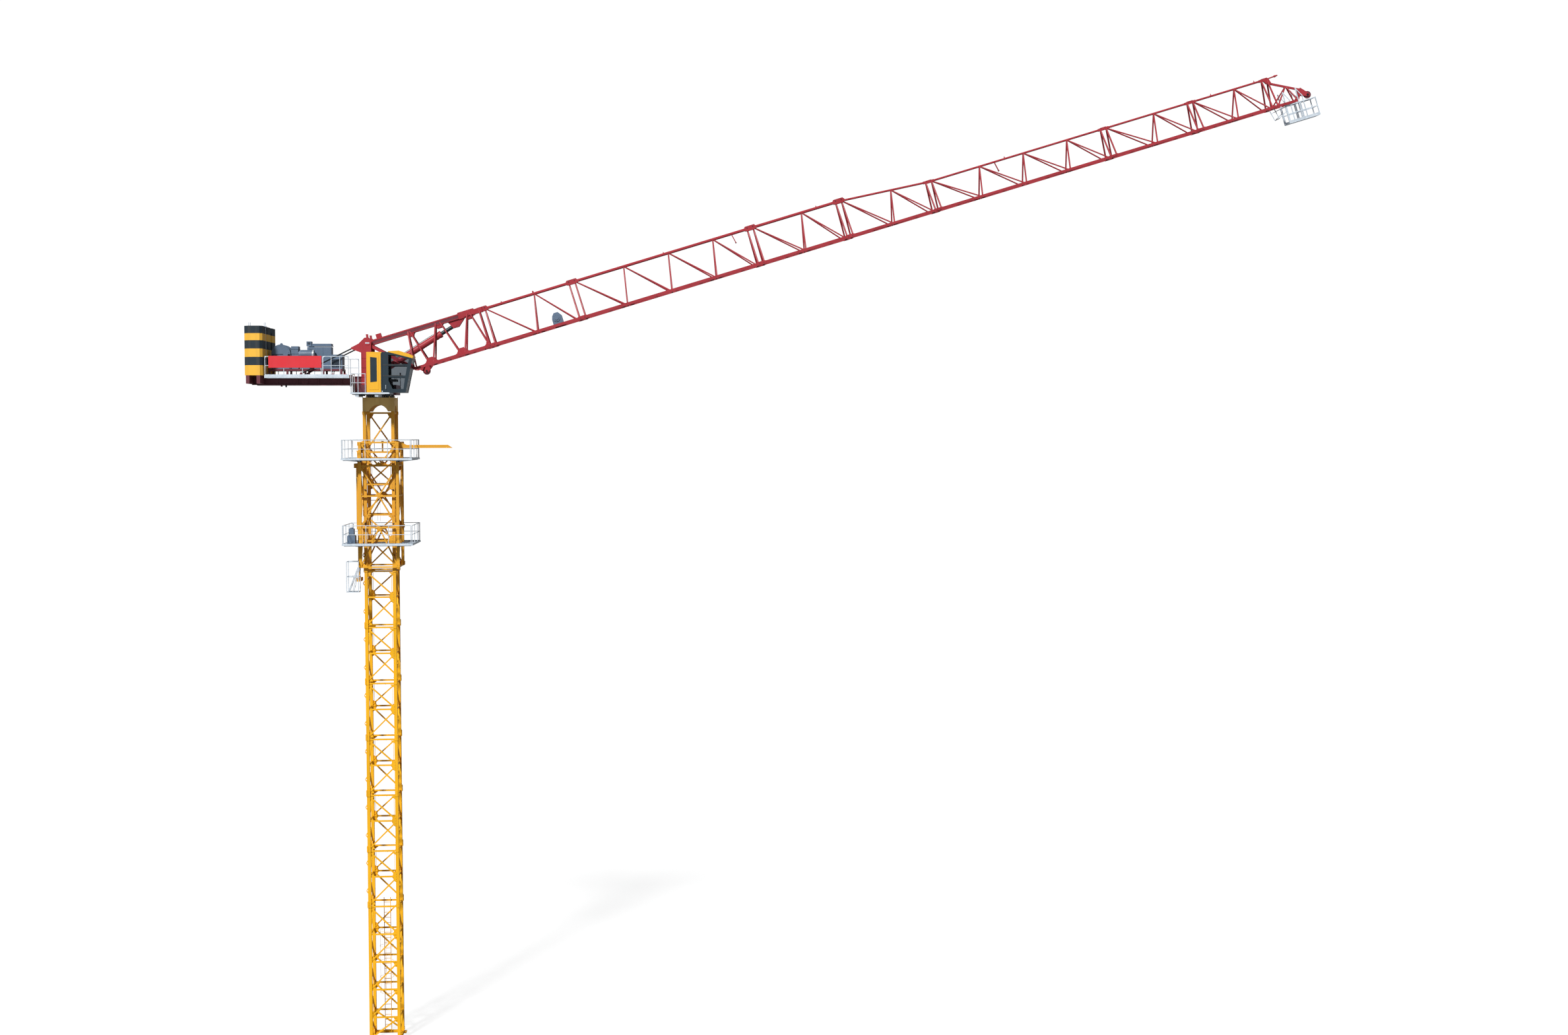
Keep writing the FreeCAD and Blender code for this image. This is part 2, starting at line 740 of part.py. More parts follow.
def counter_girders_shape():
    """Two girders tied by cross beams, the rear ones wide enough to carry the counterweights."""
    pieces = []
    flange = s.girder_height * 0.1
    back = -s.counter_reach + s.girder_width
    front = s.column_front - s.column_depth - s.running_gap
    for across in (-1, 1):
        centre = across * s.girder_pitch / 2
        half = s.girder_width / 2
        pieces.append(block(Vector(back, centre - half, turntable_top),
                            Vector(front, centre + half, girder_top)))
        groove_low = Vector(back - 1, centre + across * half * 0.35 - (half if across < 0 else 0),
                            turntable_top + flange)
        groove_high = Vector(front + 1, centre + across * half * 0.35 + (half if across > 0 else 0),
                             girder_top - flange)
        pieces[-1] = pieces[-1].cut(block(groove_low, groove_high))
    for share in (0.35, 0.62, 0.86):
        middle = front + (back - front) * share
        pieces.append(block(Vector(middle - s.girder_width / 3, -s.girder_pitch / 2, turntable_top + flange),
                            Vector(middle + s.girder_width / 3, s.girder_pitch / 2, girder_top - flange)))
    wide = s.weight_pitch + s.weight_width / 2
    for share in (0.2, 0.78):
        middle = -s.counter_reach + s.weight_length * share
        pieces.append(block(Vector(middle - s.girder_width / 2, -wide, turntable_top + flange),
                            Vector(middle + s.girder_width / 2, wide, girder_top + s.weight_seat)))
    for across in (-1, 1):
        centre = across * s.girder_pitch / 2
        pieces.append(plate([Vector(s.stay_foot - s.hinge_pin, centre, girder_top - flange),
                             Vector(s.stay_foot + s.stay_bar, centre, girder_top - flange),
                             Vector(s.stay_foot + s.stay_bar * 0.8, centre, girder_top + s.stay_lift),
                             Vector(s.stay_foot - s.stay_bar * 0.8, centre, girder_top + s.stay_lift)],
                            s.stay_bar, SIDE))
        pieces.append(Part.makeCylinder(s.stay_bar, s.stay_bar, Vector(s.stay_foot, centre - s.stay_bar / 2,
                                                                       girder_top + s.stay_lift), SIDE))
    return join(pieces)


def stays_shape():
    """Two stay bars from the column's lugs down to the girders."""
    bars = []
    top = Vector(s.column_front - s.column_depth - s.stay_lug, 0, stay_level)
    foot = Vector(s.stay_foot, 0, girder_top + s.stay_lift)
    along = (top - foot).normalize()
    start = foot + along * (s.stay_bar + s.solid_gap)
    end = top - along * (s.stay_bar + s.solid_gap)
    for across in (-1, 1):
        shift = Vector(0, across * s.column_pitch / 2, 0)
        bars.append(bar(start + shift, end + shift, s.stay_bar, SIDE, 8))
    return Part.makeCompound(bars)


def counterweights_shape():
    """Three tall ballast blocks with chamfered corners, standing on the rear cross beams."""
    length = s.weight_length
    half = s.weight_width / 2
    bevel = s.weight_chamfer
    profile = [(bevel, -half), (length - bevel / 2, -half), (length, -half + bevel / 2),
               (length, half - bevel / 2), (length - bevel / 2, half), (bevel, half),
               (0, half - bevel), (0, -half + bevel)]
    blocks = []
    for row in (-1, 0, 1):
        spot = Vector(-s.counter_reach, row * s.weight_pitch, girder_top + s.weight_seat)
        outline = Part.makePolygon([spot + Vector(x, y, 0) for x, y in profile + profile[:1]])
        blocks.append(Part.Face(outline).extrude(Vector(0, 0, s.weight_height)))
    return Part.makeCompound(blocks)


def walkways_shape():
    """A walkway deck outside each girder."""
    decks = []
    inner = (s.girder_pitch + s.girder_width) / 2 + s.running_gap
    front = -s.turntable_back
    for across in (-1, 1):
        low, high = sorted((across * inner, across * (inner + s.walk_width)))
        decks.append(block(Vector(-s.walk_reach, low, girder_top - s.walk_thick * 0.8),
                           Vector(front, high, girder_top + s.walk_thick * 0.2)))
    return Part.makeCompound(decks)


def walkway_railings_shape():
    """Railing frames along the outer edge of both walkways."""
    edge = (s.girder_pitch + s.girder_width) / 2 + s.walk_width - s.rail_tube
    foot = girder_top + s.walk_thick * 0.2
    rails = []
    long_end = -s.walk_reach + (s.walk_reach - s.turntable_back) * 0.68
    for across in (-1, 1):
        for back, front in ((-s.walk_reach + s.rail_tube, long_end - s.rail_tube),
                            (long_end + s.rail_tube, -s.turntable_back - s.rail_tube)):
            rails.append(railing(Vector(back, across * edge, foot), Vector(front, across * edge, foot),
                                 s.rail_height, s.rail_tube, 4))
    return Part.makeCompound(rails)


def machinery_frame_shape():
    """The raised frame that carries the winch, cabinets and pumps above the girders."""
    pieces = []
    half = s.frame_bar / 2
    back = -s.counter_reach + s.weight_length + s.frame_bar * 0.6
    front = -s.frame_front
    for across in (-1, 1):
        centre = across * s.frame_pitch / 2
        pieces.append(block(Vector(back, centre - half, frame_top - s.frame_bar),
                            Vector(front, centre + half, frame_top)))
        pieces.append(block(Vector(back, centre - half, girder_top),
                            Vector(front, centre + half, girder_top + s.frame_bar * 0.6)))
        for share in (0, 0.25, 0.5, 0.75, 1):
            middle = back + half + (front - back - 2 * half) * share
            pieces.append(block(Vector(middle - half, centre - half, girder_top),
                                Vector(middle + half, centre + half, frame_top - half)))
    for share in (0, 0.25, 0.5, 0.75, 1):
        middle = back + half + (front - back - 2 * half) * share
        pieces.append(block(Vector(middle - half, -s.frame_pitch / 2, frame_top - s.frame_bar),
                            Vector(middle + half, s.frame_pitch / 2, frame_top)))
    return join(pieces)


def winch_frame_shape():
    """Two side plates with the drum's axle between them."""
    pieces = []
    reach = s.drum_width / 2 + s.side_gap
    for across in (-1, 1):
        place_y = across * (reach + s.cheek_plate / 2)
        pieces.append(plate([Vector(s.drum_place - s.drum_flange, place_y, frame_top),
                             Vector(s.drum_place + s.drum_flange, place_y, frame_top),
                             Vector(s.drum_place + s.drum_axle * 2, place_y, drum_level + s.drum_axle * 1.6),
                             Vector(s.drum_place - s.drum_axle * 2, place_y, drum_level + s.drum_axle * 1.6)],
                            s.cheek_plate, SIDE))
    axle = Part.makeCylinder(s.drum_axle, 2 * (reach + s.cheek_plate),
                             Vector(s.drum_place, -reach - s.cheek_plate, drum_level), SIDE)
    return join(pieces + [axle])


def drum_hood_shape():
    """The curved cover over the drum, open at its foot, with end walls that keep clear of the flanges."""
    reach = s.drum_width / 2 + s.side_gap + s.cheek_plate + s.running_gap
    wall = s.sheet_metal
    outer = Part.makeCylinder(s.hood_radius, 2 * (reach + wall),
                              Vector(s.drum_place, -reach - wall, drum_level), SIDE)
    inner = Part.makeCylinder(s.hood_radius - wall, 2 * reach, Vector(s.drum_place, -reach, drum_level), SIDE)
    below = block(Vector(s.drum_place - s.hood_radius * 2, -s.hood_radius * 3, drum_level - s.hood_radius * 2),
                  Vector(s.drum_place + s.hood_radius * 2, s.hood_radius * 3, drum_level))
    shell = outer.cut(inner).cut(below)
    foot_height = drum_level - frame_top
    for side in (-1, 1):
        low, high = sorted((side * s.hood_radius, side * (s.hood_radius - wall)))
        shell = shell.fuse(block(Vector(s.drum_place + low, -reach - wall, drum_level - foot_height),
                                 Vector(s.drum_place + high, reach + wall, drum_level)))
    notch = Part.makeCylinder(s.hood_radius * 0.9, 4 * reach,
                              Vector(s.drum_place, -2 * reach, drum_level), SIDE)
    return shell.removeSplitter().cut(notch)


def machinery():
    """The gearbox, hoist motor, electrical cabinet and hydraulic unit on the machinery frame."""
    top = FRAME_TOP
    housing = box("GearboxCase", ("gearbox_length", "gearbox_width", "gearbox_height"),
                  ("drum_place+hood_radius+service_gap", "-gearbox_width*0.75", top))
    node(housing, "hoist_gearbox")
    start = "drum_place+hood_radius+service_gap+gearbox_length"
    case = rod("MotorCase", "x", "motor_radius", "motor_length", (start, "-gearbox_width*0.35",
                                                                f"{top}+motor_rise"))
    feet = box("MotorFeet", ("motor_length*0.7", "motor_radius*1.6", "motor_rise"),
               (f"{start}+motor_length*0.15", "-gearbox_width*0.35-motor_radius*0.8", top))
    cap = rod("MotorCap", "x", "motor_radius*0.85", "motor_length*0.18",
              (f"{start}+motor_length", "-gearbox_width*0.35", f"{top}+motor_rise"))
    node(fuse("HoistMotor", [case, feet, cap]), "hoist_motor")
    cabinet = box("CabinetCase", ("cabinet_length", "cabinet_width", "cabinet_height"),
                  ("-cabinet_front-cabinet_length", "service_gap*2", top))
    breather = box("CabinetBox", ("cabinet_length/5", "cabinet_width/3", "service_gap*4"),
                   ("-cabinet_front-cabinet_length*0.93", "service_gap*3",
                    f"{top}+cabinet_height-service_gap"))
    node(fuse("Cabinet", [cabinet, breather]), "electrical_cabinet")
    pump = box("PumpCase", ("unit_length", "unit_width", "unit_height"),
               ("-cabinet_front+service_gap", "-unit_width/2-service_gap*3", top))
    node(pump, "hydraulic_unit")
    node(box("SignPanel", ("sign_length", "sheet_metal", "sign_height"),
             ("-sign_back", "-((girder_pitch+girder_width)/2+walk_width-rail_tube/2+sheet_metal+running_gap)",
              f"{TURNTABLE_TOP}+girder_height+sign_rise")), "sign_panel")


def service_platform_shape():
    """The galvanised platform beside the turntable that carries the cab."""
    near = s.cab_side - s.platform_margin
    deck = block(Vector(-s.platform_back, near, cab_floor - s.deck_thick),
                 Vector(s.platform_front, -s.turntable_width / 2 - s.running_gap, cab_floor))
    arms = []
    arm_foot = ring_foot + s.service_gap
    for share in (0.12, 0.62):
        middle = -s.platform_back + (s.platform_back + s.platform_front) * share
        arms.append(block(Vector(middle, near + s.deck_thick, arm_foot),
                          Vector(middle + s.girder_width, -s.turntable_width / 2 - s.running_gap,
                                 cab_floor - s.deck_thick)))
    return join([deck] + arms)


def service_railing_shape():
    """Railings at the rear end and the near edge of the service platform, behind the cab."""
    near = s.cab_side - s.platform_margin + s.rail_tube
    back = -s.platform_back + s.rail_tube
    corner = s.rail_tube * 1.5
    sides = [railing(Vector(back, near + corner, cab_floor), Vector(back, near + s.cab_width, cab_floor),
                     s.rail_height, s.rail_tube, 3),
             railing(Vector(back, near, cab_floor), Vector(s.cab_back - corner, near, cab_floor),
                     s.rail_height, s.rail_tube, 3)]
    return Part.makeCompound(sides)


# ---------------------------------------------------------------- cab

def cab_profile(shrink):
    """The cab's side outline, from its rear foot; shrink moves each wall inward."""
    length = s.cab_length
    height = s.cab_height
    return [Vector(shrink, 0, shrink), Vector(length * 0.845 - shrink, 0, shrink),
            Vector(length - shrink, 0, height * 0.845 - shrink * 0.4),
            Vector(length * 0.47, 0, height - shrink), Vector(shrink, 0, height - shrink)]


def cab_solid(shrink):
    """The cab's outline as a prism across its width."""
    outline = cab_profile(shrink)
    width = s.cab_width - 2 * shrink
    prism = Part.Face(Part.makePolygon(outline + outline[:1])).extrude(Vector(0, width, 0))
    prism.translate(Vector(s.cab_back, s.cab_side + shrink, cab_floor))
    return prism


def side_windows():
    """The outlines of the three panes in a side wall, as shares of the cab's length and height."""
    return [[(0.475, 0.70), (0.895, 0.70), (0.925, 0.815), (0.62, 0.915), (0.475, 0.93)],
            [(0.475, 0.42), (0.845, 0.42), (0.885, 0.655), (0.475, 0.655)],
            [(0.56, 0.09), (0.80, 0.09), (0.835, 0.375), (0.475, 0.375), (0.475, 0.30)]]


def window_prism(points, low, high, inset):
    """A side window's prism between two places across the cab, drawn inward by an inset."""
    centre_x = sum(x for x, z in points) / len(points) * s.cab_length
    centre_z = sum(z for x, z in points) / len(points) * s.cab_height
    corners = []
    for x, z in points:
        away = Vector(x * s.cab_length - centre_x, 0, z * s.cab_height - centre_z)
        moved = away * (1 - inset / away.Length)
        corners.append(Vector(s.cab_back + centre_x + moved.x, low, cab_floor + centre_z + moved.z))
    return Part.Face(Part.makePolygon(corners + corners[:1])).extrude(Vector(0, high - low, 0))


def front_windows():
    """The three front openings as shares of the slanted front's height."""
    return [(0.72, 0.95), (0.36, 0.67), (0.08, 0.31)]


def front_prism(low_share, high_share, out, inward, inset):
    """A prism through the slanted front wall between two shares of its height."""
    foot = Vector(s.cab_back + s.cab_length * 0.845, 0, cab_floor)
    head = Vector(s.cab_back + s.cab_length, 0, cab_floor + s.cab_height * 0.845)
    slope = (head - foot).normalize()
    normal = Vector(slope.z, 0, -slope.x)
    side = s.cab_side + s.cab_wall * 1.6 + inset
    width = s.cab_width - 3.2 * s.cab_wall - 2 * inset
    low = foot + (head - foot) * low_share + slope * inset
    high = foot + (head - foot) * high_share - slope * inset
    corners = [low + normal * out, high + normal * out, high - normal * inward, low - normal * inward]
    for corner in corners:
        corner.y = side
    return Part.Face(Part.makePolygon(corners + corners[:1])).extrude(Vector(0, width, 0))


def cab_body_shape():
    """The cab's hollow body with its window openings."""
    shell = cab_solid(0).cut(cab_solid(s.cab_wall))
    near = s.cab_side
    far = s.cab_side + s.cab_width
    for points in side_windows():
        shell = shell.cut(window_prism(points, near - 1, near + s.cab_wall + 1, 0))
        shell = shell.cut(window_prism(points, far - s.cab_wall - 1, far + 1, 0))
    for low_share, high_share in front_windows():
        shell = shell.cut(front_prism(low_share, high_share, s.cab_wall, s.cab_wall * 2, 0))
    return shell


def cab_glass_shape():
    """Glass panes in the cab's openings."""
    panes = []
    near = s.cab_side + s.cab_wall * 0.35
    far = s.cab_side + s.cab_width - s.cab_wall * 0.35
    for points in side_windows():
        panes.append(window_prism(points, near, near + s.glass_thick, s.solid_gap))
        panes.append(window_prism(points, far - s.glass_thick, far, s.solid_gap))
    for low_share, high_share in front_windows():
        panes.append(front_prism(low_share, high_share, -s.cab_wall * 0.3, s.cab_wall * 0.3 + s.glass_thick,
                                 s.solid_gap))
    return Part.makeCompound(panes)


def cab_roof_shape():
    """The sloping cover on the cab's roof."""
    length = s.cab_length
    height = s.cab_height
    rise = s.cab_wall
    profile = [(0.47, 1.0), (1.0, 0.845), (1.012, 0.90), (0.93, 0.95), (0.70, 1.035), (0.47, 1.02)]
    corners = [Vector(s.cab_back + x * length, s.cab_side + rise, cab_floor + z * height + s.running_gap)
               for x, z in profile]
    return Part.Face(Part.makePolygon(corners + corners[:1])).extrude(Vector(0, s.cab_width - 2 * rise, 0))


def cab_seat():
    """The driver's seat: a pedestal, a cushion and a back."""
    middle = "(cab_side+cab_width/2)"
    foot = box("SeatFoot", ("seat_size*0.5", "seat_size*0.5", "seat_size"),
               ("cab_back+cab_length*0.42", f"{middle}-seat_size*0.25", f"{CAB_FLOOR}+cab_wall"))
    cushion = box("SeatCushion", ("seat_size", "seat_size", "seat_size*0.28"),
                  ("cab_back+cab_length*0.34", f"{middle}-seat_size/2", f"{CAB_FLOOR}+cab_wall+seat_size*0.9"))
    back = box("SeatBack", ("seat_size*0.25", "seat_size", "seat_size*1.5"),
               ("cab_back+cab_length*0.34-seat_size*0.1", f"{middle}-seat_size/2",
                f"{CAB_FLOOR}+cab_wall+seat_size"))
    return node(fuse("CabSeat", [foot, cushion, back]), "cab_seat")


# ---------------------------------------------------------------- jib

UP = Vector(0, 0, 1)
hinge = Vector(s.hinge_back, 0, hinge_height)
jib_turn = Rotation(Vector(0, -1, 0), s.rest_angle)
lower = -s.jib_height
half_width = s.jib_width / 2
root_sheave_along = s.root_length * 0.395
root_sheave_level = lower - s.sheave_radius - s.web_tube


def jib_node(label, shape, along=0.0):
    """A sub-part of the jib, drawn in the jib's own frame and shifted along it."""
    place_there = Placement(hinge + jib_turn.multVec(Vector(along, 0, 0)), jib_turn)
    return shape_node(label, shape, place_there)


def tube(start, end, width):
    """A jib tube, drawn with eight sides."""
    normal = SIDE if abs((end - start).normalize().y) < 0.9 else UP
    return bar(start, end, width, normal, 8)


def jib_section_shape(length, top_start, top_end):
    """A triangular section: one upper chord, two lower chords, posts and falling diagonals."""
    panels = round(length / s.panel_length)
    panel = length / panels
    lug = s.joint_lug
    slope = (top_end - top_start) / length
    upper_size = s.outer_top_chord if top_end < 0 else s.chord_tube
    lower_size = s.outer_lower_chord if top_end < 0 else s.lower_chord

    def top(along):
        return Vector(along, 0, top_start + slope * along)

    pieces = [bar(top(0), top(length), upper_size, SIDE, 8)]
    for start in (0, length - lug):
        pieces.append(bar(top(start), top(start + lug), upper_size * 1.3, SIDE))
    for across in (-1, 1):
        edge = across * half_width
        pieces.append(bar(Vector(0, edge, lower), Vector(length, edge, lower), lower_size, SIDE))
        for start in (0, length - lug * 0.8):
            pieces.append(bar(Vector(start, edge, lower), Vector(start + lug * 0.8, edge, lower),
                              lower_size * 1.25, SIDE))
        end_post = lug * 0.55
        for along in (end_post, length - end_post):
            pieces.append(tube(Vector(along, edge, lower), top(along), s.post_tube))
        for number in range(panels):
            start = number * panel
            begin = end_post if number == 0 else start + s.post_lean
            finish = start + panel - (lug if number == panels - 1 else s.post_lean * 0.2)
            pieces.append(tube(top(begin), Vector(finish, edge, lower), s.web_tube))
            if number:
                pieces.append(tube(Vector(start, edge, lower), top(start + s.post_lean), s.post_tube * 0.9))
    for number in range(panels + 1):
        along = min(max(number * panel, lug * 0.55), length - lug * 0.55)
        pieces.append(tube(Vector(along, -half_width, lower), Vector(along, half_width, lower), s.web_tube))
        if number < panels:
            side = 1 if number % 2 == 0 else -1
            beyond = min((number + 1) * panel, length - lug * 0.55)
            pieces.append(tube(Vector(along, -side * half_width, lower),
                               Vector(beyond, side * half_width, lower),
                               s.web_tube * 0.9))
    room = block(Vector(0, -s.jib_width, lower * 2), Vector(length, s.jib_width, s.jib_height))
    return join(pieces).common(room)


def root_section_shape():
    """The jib's root: a box chord from the hinge, two open side faces and a lower ladder.

    The luffing cylinder works between the side faces, so the four stay separate solids.
    """
    length = s.root_length
    half_chord = s.root_chord / 2
    depth = s.root_depth / 2
    hinge_reach = (s.column_pitch - s.column_plate) / 2 - s.hinge_gap
    start_low = length * 0.31
    cross = Part.makeCylinder(s.hinge_pin * 0.75, 2 * hinge_reach, Vector(0, -hinge_reach, 0), SIDE)
    pin_reach = (s.column_pitch + s.column_plate) / 2
    pin = Part.makeCylinder(s.hinge_pin / 2, 2 * pin_reach, Vector(0, -pin_reach, 0), SIDE)
    chord = [block(Vector(0, -half_chord, -depth), Vector(length, half_chord, depth)), cross, pin,
             block(Vector(length * 0.79, -half_chord, -depth * 1.25),
                   Vector(length * 0.93, half_chord, depth * 1.5)),
             block(Vector(length * 0.075, -half_chord * 0.5, depth - 1),
                   Vector(length * 0.12, half_chord * 0.5, depth * 2.8)),
             bar(Vector(length - s.joint_lug * 1.6, 0, 0), Vector(length, 0, 0), s.root_depth * 0.9, SIDE)]
    cheek_in = s.eye_width / 2 + s.cheek_gap
    for across in (-1, 1):
        middle = across * (cheek_in + s.bracket_plate / 2)
        cheek = plate([Vector(s.eye_along - s.eye_radius * 2.4, middle, -depth + 1),
                       Vector(s.eye_along + s.eye_radius * 4.4, middle, -depth + 1),
                       Vector(s.eye_along + s.eye_radius * 1.2, middle, -s.eye_below - s.eye_radius),
                       Vector(s.eye_along - s.eye_radius * 0.9, middle, -s.eye_below - s.eye_radius)],
                      s.bracket_plate, SIDE)
        hole = Part.makeCylinder(s.eye_pin / 2, s.root_chord * 2,
                                 Vector(s.eye_along, -s.root_chord, -s.eye_below), SIDE)
        chord.append(cheek.cut(hole))
    upper = join(chord)

    def face(across):
        edge = across * half_width
        inner = across * half_chord
        pieces = [bar(Vector(start_low, edge, lower), Vector(length, edge, lower), s.lower_chord, SIDE),
                  bar(Vector(length - s.joint_lug, edge, lower), Vector(length, edge, lower),
                      s.lower_chord * 1.25, SIDE)]
        for top_share, low_share, width in ((0.36, 0.446, s.web_tube), (0.589, 0.478, s.post_tube),
                                            (0.626, 0.722, s.web_tube), (0.869, 0.757, s.post_tube),
                                            (0.891, 0.975, s.web_tube), (0.975, 0.975, s.post_tube)):
            pieces.append(tube(Vector(length * low_share, edge, lower),
                               Vector(length * top_share, inner, 0), width))
        for share in (0.446, 0.478, 0.722, 0.757):
            pieces.append(plate([Vector(length * (share - 0.045), edge, lower),
                                 Vector(length * (share + 0.045), edge, lower),
                                 Vector(length * (share + 0.015), edge, lower + s.lower_chord * 1.7),
                                 Vector(length * (share - 0.015), edge, lower + s.lower_chord * 1.7)],
                                s.gusset_thick, SIDE))
        side_reach = across * (hinge_reach - s.lower_chord * 0.6)
        pieces.append(bar(Vector(s.hinge_pin * 0.6, side_reach, -s.hinge_pin), Vector(start_low, edge, lower),
                          s.lower_chord * 1.1, SIDE))
        pieces.append(bar(Vector(start_low, edge, lower), Vector(length * 0.345, inner, 0), s.web_tube, SIDE))
        whole = join(pieces)
        keep_low = half_chord + s.solid_gap
        low, high = sorted((across * keep_low, across * s.jib_width))
        kept = whole.common(block(Vector(-s.jib_height, low, lower * 2), Vector(length, high, s.jib_height)))
        cross_room = Part.makeCylinder(s.hinge_pin * 0.75 + s.solid_gap, 2 * hinge_reach,
                                       Vector(0, -hinge_reach, 0), SIDE)
        return kept.cut(cross_room)

    clear = half_width - s.lower_chord / 2 - s.solid_gap
    rungs = []
    shares = (0.33, 0.478, 0.61, 0.757, 0.92)
    for number, share in enumerate(shares):
        rungs.append(tube(Vector(length * share, -half_width, lower),
                          Vector(length * share, half_width, lower),
                          s.web_tube))
        if number:
            side = 1 if number % 2 else -1
            rungs.append(tube(Vector(length * shares[number - 1], -side * clear, lower),
                              Vector(length * share, side * clear, lower), s.web_tube * 0.9))
    cheek_y = s.sheave_width / 2 + s.cheek_gap + s.sheet_metal / 2
    for across in (-1, 1):
        first, second = length * shares[0], length * shares[1]
        place_y = across * cheek_y
        tip = root_sheave_level - s.sheave_pin
        under, over = lower - s.web_tube * 0.3, lower + s.web_tube * 0.3
        rungs.append(plate([Vector(first, place_y, under),
                            Vector(root_sheave_along - s.sheave_pin, place_y, tip),
                            Vector(root_sheave_along + s.sheave_pin, place_y, tip),
                            Vector(second, place_y, under), Vector(second, place_y, over),
                            Vector(first, place_y, over)], s.sheet_metal, SIDE))
    reach = cheek_y + s.sheet_metal / 2
    rungs.append(Part.makeCylinder(s.sheave_pin / 2, 2 * reach,
                                   Vector(root_sheave_along, -reach, root_sheave_level), SIDE))
    floor = join(rungs).common(block(Vector(0, -clear, lower * 2), Vector(length, clear, 0)))
    return Part.makeCompound([upper, face(-1), face(1), floor])


def jib_head_shape():
    """The jib's tip: chords that run together to a nose with two cheeks for the sheave."""
    length = s.head_length
    top_start = Vector(0, 0, -s.taper_drop)
    nose = Vector(length * 0.93, 0, -s.taper_drop - s.nose_drop)
    cheek = (s.sheave_width / 2 + s.cheek_gap + s.bracket_plate / 2)
    chord_end = (nose + (top_start - nose).normalize() * (s.sheave_radius * 1.7)
                 + Vector(0, 0, s.chord_tube * 0.35))
    pieces = [bar(top_start - Vector(s.joint_lug, 0, 0), chord_end, s.outer_top_chord, SIDE),
              tube(top_start, top_start + Vector(s.finial_length, 0, s.chord_tube * 0.3), s.web_tube)]
    knee = length * 0.62
    for across in (-1, 1):
        edge = across * half_width
        narrow = across * half_width * 0.55
        low_end = Vector(knee, narrow, lower)
        pieces += [bar(Vector(-s.joint_lug, edge, lower) + Vector(0, across * s.web_tube, 0), low_end,
                       s.outer_lower_chord, SIDE),
                   tube(Vector(s.joint_lug * 0.5, edge, lower), top_start + Vector(s.joint_lug * 0.5, 0, 0),
                        s.post_tube),
                   tube(low_end, nose - Vector(s.sheave_radius * 1.6, 0, -s.chord_tube), s.post_tube),
                   tube(low_end, (top_start + nose) * 0.5, s.web_tube),
                   tube(Vector(s.joint_lug * 0.5, edge, lower), (top_start + nose) * 0.5, s.web_tube)]
        middle = Vector(0, across * cheek, 0)
        pieces.append(plate([nose + middle + Vector(-s.sheave_radius * 1.9, 0, -s.chord_tube * 0.4),
                             nose + middle + Vector(s.sheave_radius * 0.3, 0, -s.sheave_radius * 1.2),
                             nose + middle + Vector(s.sheave_radius * 0.6, 0, -s.sheave_radius * 0.5),
                             nose + middle + Vector(-s.sheave_radius * 1.5, 0, s.chord_tube * 2.4)],
                            s.bracket_plate, SIDE))
    pieces.append(tube(Vector(knee, -half_width * 0.55, lower), Vector(knee, half_width * 0.55, lower),
                       s.post_tube))
    pieces.append(tube(Vector(s.joint_lug * 0.5, -half_width, lower),
                       Vector(s.joint_lug * 0.5, half_width, lower),
                       s.web_tube))
    axle = nose + Vector(0, 0, -s.sheave_radius * 0.6)
    reach = cheek + s.bracket_plate / 2
    pieces.append(Part.makeCylinder(s.sheave_pin / 2, 2 * reach, axle - Vector(0, reach, 0), SIDE))
    pieces.append(block(nose + Vector(-s.sheave_radius * 2.6, -reach, -s.chord_tube * 0.2),
                        nose + Vector(-s.sheave_radius * 1.45, reach, s.chord_tube * 1.7)))
    room = block(Vector(0, -s.jib_width, lower * 2), Vector(length * 1.5, s.jib_width, s.jib_height))
    return join(pieces).common(room)


def sheave_shape():
    """A grooved rope sheave with a bored hub, axis along Y, centred on its axle."""
    half = s.sheave_width / 2
    rim = s.sheave_radius
    deep = rim - s.sheave_width * 0.45
    bore = s.sheave_pin / 2 + s.pin_clearance
    profile = [(bore, -half), (rim, -half), (deep, -half * 0.3), (deep, half * 0.3), (rim, half), (bore, half)]
    outline = Part.makePolygon([Vector(radius, across, 0) for radius, across in profile + profile[:1]])
    return Part.Face(outline).revolve(Vector(), SIDE, 360)


def tip_basket_shape():
    """The maintenance basket under the tip: a floor, hangers and railings."""
    left = s.basket_start
    right = s.basket_start + s.basket_length
    low = lower - s.basket_drop
    half = s.basket_width / 2
    hang = s.rail_tube * 1.4
    rise = Vector(0, 0, s.rail_height * 0.95)
    pieces = [block(Vector(left, -half, low - s.deck_thick / 2), Vector(right, half, low))]
    top_level = lower - s.outer_lower_chord / 2 - s.solid_gap
    for across in (-1, 1):
        edge = across * (half - hang / 2)
        for share in (1, 0.5):
            pieces.append(bar(Vector(left + hang, edge, low) + rise * share,
                              Vector(right - hang / 2, edge, low) + rise * share, hang, SIDE))
        for share in (0.5, 1):
            foot = Vector(left + hang / 2 + (right - left - hang) * share, edge, low - 1)
            pieces.append(bar(foot, foot + rise + Vector(0, 0, hang / 2 + 1), hang, SIDE))
        pieces.append(bar(Vector(left + hang / 2, edge, low - 1), Vector(left + hang / 2, edge, top_level),
                          hang, SIDE))
    for level in (0.5, 1):
        pieces.append(bar(Vector(right - hang / 2, -half + hang / 2, low) + rise * level,
                          Vector(right - hang / 2, half - hang / 2, low) + rise * level, hang * 0.8,
                          Vector(1, 0, 0)))
    return join(pieces)


# ---------------------------------------------------------------- luffing cylinder

cylinder_foot = Vector(s.cylinder_back, 0, cylinder_height)
eye_spot = hinge + jib_turn.multVec(Vector(s.eye_along, 0, -s.eye_below))
cylinder_line = eye_spot - cylinder_foot
cylinder_turn = Rotation(Vector(1, 0, 0), cylinder_line)


